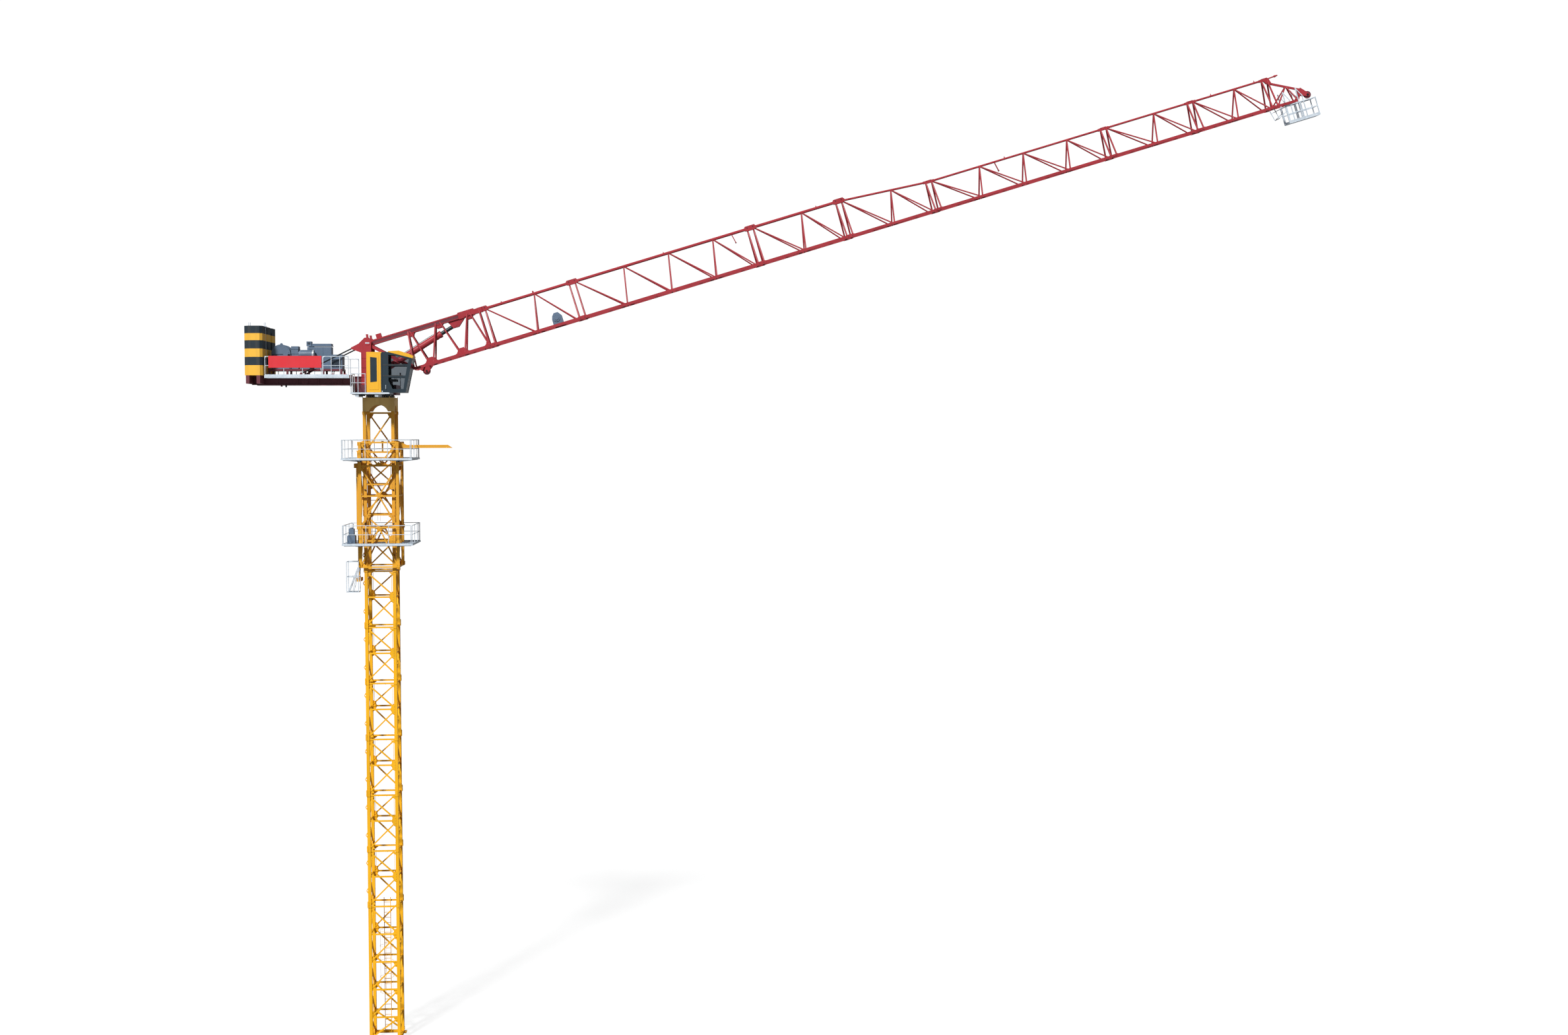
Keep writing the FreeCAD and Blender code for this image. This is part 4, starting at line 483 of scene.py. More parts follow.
def grating(name, body, level, *strips, pitch=0.045):
    """Flat bars on edge over strips, each given by two corners, and cross bars three times as far apart."""
    margin = 0.02
    piece = Piece(name, body, ZINC_DARK)
    for low, high in strips:
        x0, y0, x1, y1 = low[0] + margin, low[1] + margin, high[0] - margin, high[1] - margin
        for along in sweep(max(2, round((x1 - x0) / pitch)), x0, x1):
            piece.bar((along, y0, level), (along, y1, level), 0.004, 0.008, across=X)
        for across in sweep(max(2, round((y1 - y0) / (pitch * 3))), y0, y1):
            piece.bar((x0, across, level), (x1, across, level), 0.004, 0.006)


def cage_decks():
    """Grating, toe boards, brackets, black clamps and joists for the two platforms of the climbing cage."""
    boards = Piece("platform_toe_boards", "tower", ZINC)
    brackets = Piece("platform_brackets", "tower", ZINC)
    clamps = Piece("platform_clamps", "tower", BLACK_STEEL)
    joists = Piece("platform_joists", "tower", ZINC)
    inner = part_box("cage_frame")[1].x
    for name in ("upper_platform", "lower_platform"):
        low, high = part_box(name)
        edge = high.x
        grating(f"{name}_grating", "tower", high.z + 0.004, ((-edge, -edge), (edge, -inner)),
                ((-edge, inner), (edge, edge)), ((inner, -inner), (edge, inner)))
        for _ in quarter_turns(boards, brackets, clamps, joists):
            boards.box((-edge + 0.03, -edge + 0.003, high.z), (edge - 0.03, -edge + 0.008, high.z + 0.016))
            for spot in (0.04 - inner, inner - 0.04):
                outline = [(spot, -inner, low.z), (spot, -edge + 0.06, low.z),
                           (spot, -edge + 0.06, low.z - 0.016), (spot, -inner, low.z - 0.05)]
                brackets.prism(outline, X * 0.012)
                clamps.box((spot - 0.03, -inner - 0.014, low.z - 0.05), (spot + 0.05, -inner, low.z - 0.004))
                clamps.rod((spot + 0.01, -inner - 0.034, low.z - 0.028), (spot + 0.01, -inner, low.z - 0.028),
                           0.016, 12)
            for step in range(5):
                spot = Vector((0, -edge + 0.06 + step * 0.075, low.z - 0.008))
                joists.bar(spot - X * (edge - 0.05), spot + X * (edge - 0.05), 0.012, 0.016)


def cage_details():
    """Guide rollers, corner plates and the tapered edge plates of the climbing cage."""
    low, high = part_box("cage_frame")
    leg, edge = 0.074, high.x
    height = high.z - low.z
    plates = Piece("cage_plates", "tower", MAST_YELLOW)
    rollers = Piece("cage_rollers", "tower", BLACK_RUBBER, slot="dark_steel")
    for _ in quarter_turns(plates):
        for share in (0.02, 0.32, 0.985):
            level = low.z + height * share
            for side in SIDES:
                spot, face = side * (edge - leg / 2), -edge - 0.006
                plates.box((spot - leg * 0.75, face, level - 0.05), (spot + leg * 0.5, -edge, level + 0.05))
                for shift in (-0.3, 0.3):
                    plates.bolt((spot + shift * leg, face, level), -Y, 0.016)
    for across in SIDES:
        for share in (0.1, 0.35, 0.62, 0.86):
            for side in SIDES:
                spot = Vector((side * (LEG_CENTRE - 0.005), across * (OUTER + 0.026), low.z + height * share))
                rollers.rod(spot - X * 0.022, spot + X * 0.022, 0.014, 14)
        for foot, top in ((0.30, 0.72), (0.62, 0.93)):
            start, end = low.z + height * foot, low.z + height * top
            outline = [(-edge, start), (-edge - 0.03, end - 0.03), (-edge - 0.055, end), (-edge, end)]
            plates.plate(outline, across * (edge - leg / 2) - 0.012, 0.024)


def basket_struts():
    """Inclined struts that hold the access basket to the cage, and its grating."""
    piece = Piece("access_basket_struts", "tower", ZINC)
    low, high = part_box("access_basket")
    wide, deep, tall = settle(low, high, piece)
    for y in (0.04, deep - 0.04):
        piece.rod((0.05, y, 0.02), (wide - 0.012, y, tall - 0.12), 0.011)
        piece.rod((0.16, y, 0.02), (wide - 0.012, y, tall - 0.18), 0.008)
    grating("access_basket_grating", "tower", low.z + 0.016, (low, high), pitch=0.03)


def power_pack_details():
    """The climbing power pack: a wide tank below, a narrower motor block above and its ribs and cap."""
    pack = Piece("power_pack_tank", "tower", MACHINE_GREY, bevel=0.004)
    ribs = Piece("power_pack_ribs", "tower", MACHINE_DARK)
    cap = Piece("power_pack_cap", "tower", MACHINE_GREY, bevel=0.003)
    wide, deep, tall = settle(*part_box("climbing_power_pack"), pack, ribs, cap)
    waist = tall * 0.48
    pack.box((0, 0, 0), (wide, deep, waist))
    pack.box((0.012, 0.02, waist), (wide - 0.012, deep - 0.02, waist + 0.014))
    pack.box((0.035, 0.05, waist + 0.014), (wide - 0.035, deep - 0.05, tall - 0.03))
    made = pack.finish()
    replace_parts(made, "climbing_power_pack")
    for step in range(6):
        level = waist + 0.035 + step * 0.026
        ribs.box((0.031, 0.06, level), (wide - 0.031, deep - 0.06, level + 0.01))
    ribs.box((0.05, 0.046, waist + 0.02), (wide - 0.05, 0.05, waist + 0.03))
    cap.rod((wide / 2, deep / 2, tall - 0.03), (wide / 2, deep / 2, tall), 0.045, 24)


# ---- pedestal and slewing ring

def pedestal_details():
    """Bolt rows and ribs on the slewing pedestal, and the ring's bolts."""
    low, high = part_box("slewing_pedestal")
    edge = high.x
    heads = Piece("pedestal_bolts", "tower", PEDESTAL_YELLOW)
    plates = Piece("pedestal_ribs", "tower", PEDESTAL_YELLOW)
    for _ in quarter_turns(heads, plates):
        for side in SIDES:
            for rise in (0.3, 0.38):
                heads.bolt((side * edge * 0.72, -edge, low.z + rise), -Y, 0.02)
            spot = side * edge * 0.88
            plates.box((spot - 0.006, -edge - 0.004, low.z + 0.02), (spot + 0.006, -edge, high.z - 0.03))
        plates.box((-edge * 0.85, -edge - 0.004, high.z - 0.05), (edge * 0.85, -edge, high.z - 0.03))
    ring_low, ring_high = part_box("slewing_ring")
    for turn in around(36):
        out = polar(turn, X, Y)
        heads.bolt(out * ring_high.x * 0.999 + Z * (ring_low.z + 0.037), out, 0.014)


def transition_details():
    """Lug pins of the transition section and the climbing cylinder's stop."""
    low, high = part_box("transition_section")
    pins = Piece("transition_pins", "tower", BLACK_STEEL)
    for across in SIDES:
        for side in SIDES:
            pins.cross_rod((side * (high.x - 0.022), across * LEG_CENTRE, low.z + 0.136), 0.028, 0.012)
    stop = Piece("climbing_stop", "tower", MAST_YELLOW, bevel=0.003)
    face = LEG_CENTRE - 0.02
    stop.box((-0.02, face - 0.02, low.z + 0.12), (0.02, face, low.z + 0.38))
    stop.box((-0.03, face - 0.03, low.z + 0.36), (0.03, face, low.z + 0.4))


# ---- counter-jib

BLOCK_WIDTH = 0.59
RAIL_SPLIT = -1.374
walk_low, walk_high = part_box("counter_jib_walkways")
girder_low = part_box("counter_jib_girders")[0]


def walkway_details():
    """Grating, toe boards and the small brackets of the counter-jib's walkways."""
    inner = 0.38
    grating("walkway_grating", "upperworks", walk_high.z + 0.004, (walk_low, (walk_high.x, -inner)),
            ((walk_low.x, inner), walk_high))
    boards = Piece("walkway_toe_boards", "upperworks", ZINC)
    brackets = Piece("walkway_brackets", "upperworks", JIB_RED, bevel=0.003)
    outline = ((0.0, 0.0), (0.14, 0.0), (0.1, 0.05), (0.03, 0.05))
    for side in SIDES:
        boards.box((walk_low.x + 0.01, side * (walk_high.y - 0.006), walk_high.z),
                   (walk_high.x - 0.01, side * (walk_high.y - 0.012), walk_high.z + 0.024))
        for along in (1.0, 1.62, 1.95):
            brackets.plate(outline, side * walk_high.y * 0.55 - 0.02, 0.04, (walk_low.x + along, walk_high.z))


def girder_details():
    """Splice plates, ribs, flanges and downstands on the counter-jib's girders."""
    piece = Piece("girder_ribs", "upperworks", GIRDER_RED)
    bolts = Piece("girder_bolts", "upperworks", BLACK_STEEL)
    face, back, front = 0.395, girder_low.x + 0.06, -0.72
    low, high = girder_low.z, girder_low.z + 0.225
    for side in SIDES:
        near, plate, flange = side * face, side * (face + 0.006), side * (face + 0.02)
        for along in (-2.62, -2.1, -1.55, -0.95):
            piece.box((along - 0.007, near, low + 0.01), (along + 0.007, side * (face + 0.012), high - 0.01))
        piece.box((-1.99, near, low + 0.02), (-1.83, plate, high - 0.02))
        for along in (-1.96, -1.91, -1.86):
            for rise in (0.05, 0.11, 0.17):
                bolts.bolt((along, plate, low + rise), Y * side, 0.014)
        piece.box((back, near, high - 0.02), (front, flange, high - 0.006))
        piece.box((back, near, low), (front, flange, low + 0.012))
    for along, thick in ((-2.52, 0.02), (-0.72, 0.018)):
        piece.box((along - thick, -0.4, low - 0.045), (along + thick, -0.34, low))
    stub = Piece("girder_downstand", "upperworks", BLACK_STEEL, bevel=0.003)
    stub.box((-2.42, -0.4, low - 0.06), (-2.385, -0.34, low))


def counterweight_details():
    """Tie rods with their cap plates in the gap between the near blocks."""
    rods = Piece("counterweight_tie_rods", "upperworks", ZINC)
    wide, deep, tall = settle(weights_low, weights_high, rods)
    gap = BLOCK_WIDTH + (deep - 3 * BLOCK_WIDTH) / 4
    for along in (0.018, 0.058, wide - 0.058, wide - 0.018):
        rods.rod((along, gap, 0), (along, gap, tall + 0.115), 0.008)
        rods.rod((along, gap, tall + 0.01), (along, gap, tall + 0.03), 0.016, 6)
    for start in (0, wide - 0.08):
        rods.box((start, gap - 0.06, tall), (start + 0.08, gap + 0.06, tall + 0.01))


def service_boxes():
    """What stands on the machinery frame: doors, handles, louvres, raised tops, seams and bolts."""
    dark = Piece("machinery_dark_parts", "upperworks", MACHINE_DARK)
    grey = Piece("machinery_trim", "upperworks", MACHINE_GREY)
    wide, deep, tall = settle(*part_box("electrical_cabinet"), dark, grey)
    door = wide / 3
    for start in (0, door, door * 2):
        grey.box((start + 0.012, -0.006, 0.03), (start + door - 0.012, 0, tall - 0.03))
        dark.box((start + door - 0.03, -0.014, 0.28), (start + door - 0.022, -0.006, 0.36))
    for step in range(4):
        level = tall - 0.09 - step * 0.022
        dark.box((0.05, -0.008, level), (door - 0.05, -0.004, level + 0.01))
    grey.box((-0.01, -0.012, tall - 0.012), (wide + 0.012, deep + 0.012, tall + 0.006))
    grey.box((0.13, 0, tall), (wide, deep, tall + 0.06))
    grey.box((-0.02, 0.01, tall), (0.11, 0.2, tall + 0.12))
    dark.box((0.01, 0.002, tall + 0.045), (0.08, 0.01, tall + 0.095))
    wide, deep, tall = settle(*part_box("hydraulic_unit"), dark, grey)
    for step in range(9):
        level, end = 0.06 + step * 0.024, wide - 0.03
        dark.prism([(0.03, -0.001, level), (end, -0.001, level), (end, -0.012, level - 0.008),
                    (0.03, -0.012, level - 0.008)], Z * 0.004)
    grey.box((-0.006, -0.008, tall - 0.03), (wide + 0.006, deep + 0.006, tall + 0.006))
    wide, deep, tall = settle(*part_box("hoist_gearbox"), dark, grey)
    for level in (0.15, 0.4, 0.52):
        grey.box((-0.006, -0.008, level), (wide + 0.006, deep + 0.006, level + 0.014))
    for along in (0.04, 0.145):
        dark.bolt((along, 0, 0.3), -Y, 0.022)


def motor_details():
    """Cooling fins and the fan cover of the hoist motor."""
    low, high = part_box("hoist_motor")
    fins = Piece("motor_fins", "upperworks", MACHINE_GREY)
    radius = (high.y - low.y) / 2
    centre = Vector((0, (low.y + high.y) / 2, high.z - radius))
    for turn in around(28):
        out = polar(turn, Y, Z)
        start = centre + X * (low.x + 0.06) + out * (radius - 0.002)
        fins.bar(start, start + X * (high.x - low.x - 0.13), 0.012, 0.004, across=out)
    cover = Piece("motor_fan_cover", "upperworks", ZINC_DARK, slot="machine_grey", bevel=0.003)
    rim = centre + X * (high.x - 0.002)
    cover.rod(centre + X * (high.x - 0.05), rim, radius + 0.008, 32)
    cover.rod(rim, centre + X * (high.x + 0.004), radius * 0.55, 24)


def hood_details():
    """Panel ribs, a lifting lug, a flap and bolted cheeks on the winch hood."""
    low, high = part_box("winch_hood")
    drum = joint_place("drum_turn")
    radius = high.z - drum.z
    ribs = Piece("winch_hood_ribs", "upperworks", MACHINE_GREY)
    for y in (low.y, low.y + 0.13, 0.0, high.y - 0.13, high.y):
        centre = Vector((drum.x, y, drum.z))
        turns = sweep(18, math.radians(5), math.radians(175))
        ribs.tube([centre + polar(turn) * radius for turn in turns], 0.006, 6)
    lug = ((-0.045, -0.004), (0.045, -0.004), (0.02, 0.045), (-0.02, 0.045))
    ribs.plate(lug, low.y + 0.1, 0.014, (drum.x, high.z))
    ribs.box((drum.x + 0.06, low.y - 0.006, drum.z - 0.12), (drum.x + 0.18, low.y, drum.z + 0.1))
    cheeks = Piece("winch_hood_cheeks", "upperworks", MACHINE_GREY, bevel=0.002)
    for side, y in zip(SIDES, (low.y, high.y)):
        centre = Vector((drum.x, y, drum.z))
        cheeks.prism([centre + polar(t) * radius * 0.97 for t in sweep(24, 0.0, math.pi)], Y * side * 0.005)
        for step in range(7):
            out = polar(math.pi * (step + 0.5) / 7) * radius * 0.85
            cheeks.bolt(centre + out + Y * side * 0.005, Y * side, 0.012)


def drum_rope():
    """Rope wound on the drum: close turns between its flanges."""
    low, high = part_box("hoist_drum")
    drum = joint_place("drum_turn")
    rope = Piece("drum_rope_turns", "hoist_drum", BRIGHT_STEEL)
    radius, thick = 0.176, 0.007
    width = high.y - low.y - 0.05
    for turn in range(int(width / (thick * 2))):
        y = low.y + 0.025 + thick + turn * thick * 2
        rope.hoop((drum.x, y, drum.z), radius, thick, steps=40, normal=Y)


def railing_corners():
    """Rounded corner bends that finish the walkway railings' ends."""
    piece = Piece("walkway_handrail_bends", "upperworks", ZINC)
    low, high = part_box("counter_jib_railings")
    bend, inset = 0.05, 0.009
    for y in (low.y + inset, high.y - inset):
        for start, end in ((low.x, RAIL_SPLIT - 0.02), (RAIL_SPLIT + 0.02, high.x)):
            for x, way in ((start + inset, 1), (end - inset, -1)):
                centre = Vector((x + way * bend, y, high.z - bend - inset))
                points = [centre + polar(turn, -X * way, Z) * bend for turn in sweep(6, 0.0, math.pi / 2)]
                piece.tube([points[0] - Z * 0.3] + points, 0.0095)


# ---- column

def column_details():
    """Pin caps, ribs, stay pins and bolts of the column and the turntable."""
    low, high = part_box("column")
    caps = Piece("column_pin_caps", "upperworks", ZINC, bevel=0.003)
    ribs = Piece("column_ribs", "upperworks", JIB_RED)
    back, front = -0.43, -0.185
    for side in SIDES:
        face, out = side * high.y, side * (high.y + 0.007)
        pin = Vector((HINGE.x, face, HINGE.z))
        caps.box(pin - X * 0.055 - Z * 0.016, pin + X * 0.055 + Z * 0.016 + Y * side * 0.008)
        ribs.rod(pin, pin + Y * side * 0.006, 0.07, 32)
        for start in (back, front - 0.015):
            ribs.box((start, face, low.z + 0.12), (start + 0.015, out, HINGE.z - 0.25))
        for rise in (0.2, 0.45, 0.7):
            ribs.box((back, face, low.z + rise), (front, out, low.z + rise + 0.012))
    pins = Piece("stay_pins", "upperworks", BLACK_STEEL)
    stay_low, stay_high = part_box("counter_jib_stays")
    for side in SIDES:
        y = side * (stay_high.y - 0.017)
        pins.cross_rod((stay_high.x - 0.03, y, stay_high.z - 0.03), 0.04, 0.018)
        pins.cross_rod((stay_low.x + 0.03, y, stay_low.z + 0.03), 0.04, 0.018)
    bolts = Piece("turntable_bolts", "upperworks", BLACK_STEEL)
    foot = joint_place("cylinder_tilt")
    table_low, table_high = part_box("turntable")
    for side in SIDES:
        for along in sweep(8, table_low.x + 0.08, table_high.x - 0.08):
            bolts.bolt((along, side * table_high.y, table_low.z + 0.05), Y * side, 0.018)
        bolts.rod(foot + Y * side * 0.09, foot + Y * side * 0.105, 0.05, 24)


def service_platform_details():
    """Grating and dark brackets of the platform beside the cab."""
    low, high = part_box("service_platform")
    grating("service_platform_grating", "upperworks", high.z + 0.004, (low, high))
    brackets = Piece("service_platform_brackets", "upperworks", BLACK_STEEL, bevel=0.003)
    outline = ((0.0, -0.036), (0.14, -0.036), (0.14, -0.085), (0.05, -0.085))
    for along in (-0.42, 0.26):
        brackets.plate(outline, low.y + 0.1, 0.3, (along, high.z))


# ---- cab

def cab_details():
    """Embossed side panels with a dark patch, the door post, window bars and a door handle."""
    dark = Piece("cab_window_frames", "upperworks", CAB_DARK, bevel=0.002)
    yellow = Piece("cab_side_panels", "upperworks", CAB_YELLOW, bevel=0.0025)
    trim = Piece("cab_trim", "upperworks", BLACK_RUBBER)
    handles = Piece("cab_handles", "upperworks", ZINC)
    _, deep, tall = settle(cab_low, cab_high, dark, yellow, trim, handles)
    half_x, half_z, corner = 0.125, 0.455, 0.03
    rounded = []
    for quarter, (sx, sz) in enumerate(((1, 1), (-1, 1), (-1, -1), (1, -1))):
        for turn in sweep(4, math.pi / 2 * quarter, math.pi / 2 * (quarter + 1)):
            rounded.append((sx * (half_x - corner) + math.cos(turn) * corner,
                            sz * (half_z - corner) + math.sin(turn) * corner))
    patch = ((0.1, 0.27), (0.27, 0.29), (0.27, tall - 0.15), (0.1, tall - 0.13))
    for out, face in zip(SIDES, (0, deep)):
        yellow.plate(rounded, face, out * 0.006, (0.19, tall / 2))
        dark.plate(patch, face + out * 0.006, out * 0.003)
        dark.box((0.372, face, 0.012), (0.41, face + out * 0.008, tall - 0.03))
    for level in (0.43, 0.71):
        trim.box((0.42, -0.004, level), (0.94, 0, level + 0.022))
    handles.rod((0.5, -0.022, 0.1), (0.5, -0.022, 0.2), 0.008)
    handles.rod((0.41, -0.02, 0.01), (0.41, -0.02, 0.05), 0.014)


def cab_interior():
    """Armrest consoles with levers and a screen on its post inside the cab."""
    piece = Piece("cab_consoles", "upperworks", BLACK_RUBBER, bevel=0.004)
    low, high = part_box("cab_seat")
    wide, deep, _ = settle(low, high, piece)
    floor, arm, centre = cab_low.z + 0.024 - low.z, 0.33, deep / 2
    for y in (centre - 0.165, centre + 0.165):
        piece.box((0.08, y - 0.03, arm - 0.06), (wide + 0.12, y + 0.03, arm))
        piece.box((0.1, y - 0.02, floor), (0.2, y + 0.02, arm - 0.06))
        piece.rod((wide + 0.08, y, arm), (wide + 0.095, y, arm + 0.07), 0.007, 8)
        piece.rod((wide + 0.095, y, arm + 0.07), (wide + 0.1, y, arm + 0.1), 0.014)
    piece.box((wide + 0.2, centre - 0.15, floor + 0.4), (wide + 0.22, centre - 0.02, floor + 0.5))
    piece.rod((wide + 0.21, centre - 0.085, floor), (wide + 0.21, centre - 0.085, floor + 0.4), 0.009, 8)


def cab_seat_cover():
    """A padded seat with a crowned cushion, back and headrest in place of the plain blocks."""
    low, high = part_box("cab_seat")
    wide, deep, tall = high - low
    mesh = bmesh.new()
    cushion, back = (0.045, wide - 0.004, 0.11, 0.2, 0.275), (0.002, 0.065, 0.105, 0.25, 0.46)
    headrest = (0.004, 0.055, 0.06, 0.475, tall - 0.003)
    for start, end, half, foot, top in (cushion, back, headrest):
        middle = low + Vector(((start + end) / 2, deep / 2, (foot + top) / 2))
        matrix = Matrix.Translation(middle) @ Matrix.Diagonal((end - start, half * 2, top - foot, 1))
        made = bmesh.ops.create_cube(mesh, size=1.0, matrix=matrix)
        edges = list({edge for vert in made["verts"] for edge in vert.link_edges})
        bmesh.ops.subdivide_edges(mesh, edges=edges, cuts=3, use_grid_fill=True)
    data = bpy.data.meshes.new("driver_seat_cushions")
    mesh.to_mesh(data)
    mesh.free()
    data.materials.append(SEAT_CLOTH[0])
    for polygon in data.polygons:
        polygon.use_smooth = True
    cover = bpy.data.objects.new("driver_seat_cushions", data)
    bpy.context.scene.collection.objects.link(cover)
    rounding = cover.modifiers.new("crowned", "SUBSURF")
    rounding.levels = rounding.render_levels = 2
    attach(cover, "upperworks")
    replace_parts(cover, "cab_seat")


def cab_seat_base():
    """The seat's foot and pedestal, and the two rods of its headrest."""
    base = Piece("driver_seat_base", "upperworks", BLACK_RUBBER, bevel=0.004)
    deep = settle(*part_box("cab_seat"), base).y
    foot = Vector((0.13, deep / 2, 0))
    base.rod(foot, foot + Z * 0.03, 0.075, 24)
    base.rod(foot + Z * 0.03, foot + Z * 0.18, 0.055, 20, end_radius=0.08)
    for y in (deep / 2 - 0.03, deep / 2 + 0.03):
        base.rod((0.03, y, 0.44), (0.03, y, 0.49), 0.007)


# ---- jib

CHORD_DROP = 0.2
LOWER = -1.0
HALF_WIDTH = 0.3
ROOT_HALF = 0.11
BASKET_DROP = 0.53
EYE_ALONG, EYE_LEVEL, EYE_FACE = 2.325, -0.19, 0.081
SECTION_ENDS = (3.125, 5.625, 10.625, 13.125, 15.625, 20.625, 23.125, 25.275)
ROOT_END, HEAD = SECTION_ENDS[0], SECTION_ENDS[-1]


def top_level(along):
    """The upper chord's level in the jib's own frame."""
    start, end = SECTION_ENDS[3], SECTION_ENDS[4]
    return -CHORD_DROP * min(max((along - start) / (end - start), 0), 1)


def jib_joint_details():
    """Fish plates and pins where the jib's sections meet; they are smaller beyond the taper."""
    plates = Piece("jib_fish_plates", "jib", JIB_RED, JIB)
    pins = Piece("jib_joint_pins", "jib", GIRDER_RED, JIB, "jib_red")
    upper = ((-0.2, -0.02), (-0.13, 0.075), (0.13, 0.075), (0.2, -0.02), (0.1, -0.06), (-0.1, -0.06))
    lower = ((-0.13, -0.042), (0.13, -0.042), (0.13, 0.03), (0.07, 0.05), (-0.07, 0.05), (-0.13, 0.03))
    for along in SECTION_ENDS:
        level = top_level(along)
        size = 1.0 if level > -CHORD_DROP else 0.62
        reach = 0.05 * (0.5 + size / 2)
        for y in (-0.054, 0.046):
            plates.plate(upper, y * size, 0.008, (along, level), size)
        for side in SIDES:
            pins.cross_rod((along + side * 0.08 * size, 0, level + 0.035 * size), 0.066 * size, 0.016 * size)
            edge = side * HALF_WIDTH
            for y in (edge - reach - 0.008, edge + reach):
                plates.plate(lower, y, 0.008, (along, LOWER), size)
            for shift in (-0.06 * size, 0.06 * size):
                pins.cross_rod((along + shift, edge, LOWER), reach + 0.014, 0.014 * size)


def scallop(along, reach, waist, low, high):
    """A plate's outline with two hollow curves, from (along -+ reach, low) up to (along -+ waist, high)."""
    curve = []
    for turn in sweep(6, 0.0, math.pi / 2):
        curve.append((along - reach + (reach - waist) * math.sin(turn),
                      low + (high - low) * (1 - math.cos(turn))))
    return curve + [(2 * along - x, z) for x, z in reversed(curve)]


def jib_gussets():
    """Scalloped gusset plates at the nodes of the jib's root section, below and above."""
    piece = Piece("jib_root_gussets", "jib", JIB_RED, JIB)
    for side in SIDES:
        for share, reach, waist, rise in ((0.462, 0.24, 0.075, 0.17), (0.74, 0.24, 0.075, 0.17),
                                          (0.968, 0.14, 0.04, 0.12)):
            outline = scallop(ROOT_END * share, reach, waist, LOWER + 0.035, LOWER + rise)
            piece.plate(outline, side * HALF_WIDTH - 0.008, 0.016)
        for share in (0.36, 0.61, 0.88):
            outline = scallop(ROOT_END * share, 0.17, 0.07, -0.06, -0.15)
            piece.plate(outline, side * ROOT_HALF, -0.012 if side > 0 else 0.012)


def root_chord_flanges():
    """Flanges along the root's box chord, with the ribbed web between them in darker girder paint, which is
    painted shade on the chord's sides.
    """
    flanges = Piece("root_chord_flanges", "jib", JIB_RED, JIB)
    painted_shade_web = Piece("root_chord_painted_shade_web", "jib", GIRDER_RED, JIB)
    start, end = 0.1, ROOT_END * 0.79
    bottom, top = -0.048, 0.03
    for side in SIDES:
        face, skin = side * ROOT_HALF, side * (ROOT_HALF + 0.003)
        for low, high in ((top, 0.066), (-0.066, bottom)):
            flanges.box((start, face, low), (end, side * (ROOT_HALF + 0.009), high))
        # The web and its ribs carry painted shade: their darker paint stands for the shaded side of the chord
        # under its top flange.
        painted_shade_web.box((start, face, bottom), (end, skin, top))
        for number in range(8):
            along = start + 0.2 + number * 0.29
            painted_shade_web.box((along, skin, bottom), (along + 0.012, side * (ROOT_HALF + 0.008), top))


def jib_small_parts():
    """The warning lamp, small spikes, hanging rope guides and the rod eye's caps along the jib."""
    red = Piece("jib_rope_guides", "jib", JIB_RED, JIB)
    dark = Piece("jib_rope_rollers", "jib", BLACK_RUBBER, JIB, "dark_steel")
    lamp = Vector((4.555, 0, 0.03))
    red.rod(lamp, lamp + Z * 0.03, 0.02, 12)
    red.rod(lamp + Z * 0.03, lamp + Z * 0.055, 0.028, 16, end_radius=0.012)
    for along in (3.67, 8.2, 12.5, 17.8, 23.74, 24.99):
        level = top_level(along)
        red.rod((along, 0, level + 0.03), (along, 0, level + 0.075), 0.02, 8, end_radius=0.003)
    for along in (10.1, 17.5):
        level = top_level(along)
        for y in (-0.027, 0.027):
            red.bar((along, y, level - 0.02), (along + 0.05, y, level - 0.27), 0.006, 0.02)
        dark.cross_rod((along + 0.048, 0, level - 0.26), 0.026, 0.02)
    for side in SIDES:
        eye = Vector((EYE_ALONG, side * EYE_FACE, EYE_LEVEL))
        red.rod(eye, eye + Y * side * 0.008, 0.045, 24)


def jib_winch_details():
    """The small winch in the jib: a body with sloping shoulders, a round boss and its red base."""
    low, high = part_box("jib_winch")
    middle = JIB.inverted() @ ((low + high) / 2)
    reach = (high.y - low.y) / 2
    half, tall = 0.14, 0.165
    outline = [(-half, -tall), (half, -tall), (half, tall * 0.35), (half * 0.45, tall), (-half * 0.35, tall),
               (-half * 0.8, tall * 0.55), (-half, 0.0)]
    body = Piece("jib_winch_body", "jib", MACHINE_GREY, JIB, bevel=0.006)
    body.plate(outline, -reach, reach * 2, (middle.x, middle.z))
    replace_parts(body.finish(), "jib_winch")
    boss = Piece("jib_winch_boss", "jib", MACHINE_GREY, JIB)
    for side in SIDES:
        spot = Vector((middle.x - 0.015, side * reach, middle.z + 0.02))
        out = Y * side * 0.014
        boss.rod(spot, spot + out, 0.1, 32)
        boss.rod(spot + out, spot + out * 2, 0.055, 24)
        for turn in around(8):
            boss.bolt(spot + out + polar(turn) * 0.08, Y * side, 0.011)
    base = Piece("jib_winch_base", "jib", JIB_RED, JIB, bevel=0.003)
    foot = middle.z - tall
    base.box((middle.x - 0.18, -reach - 0.02, foot - 0.02), (middle.x + 0.18, reach + 0.02, foot + 0.016))


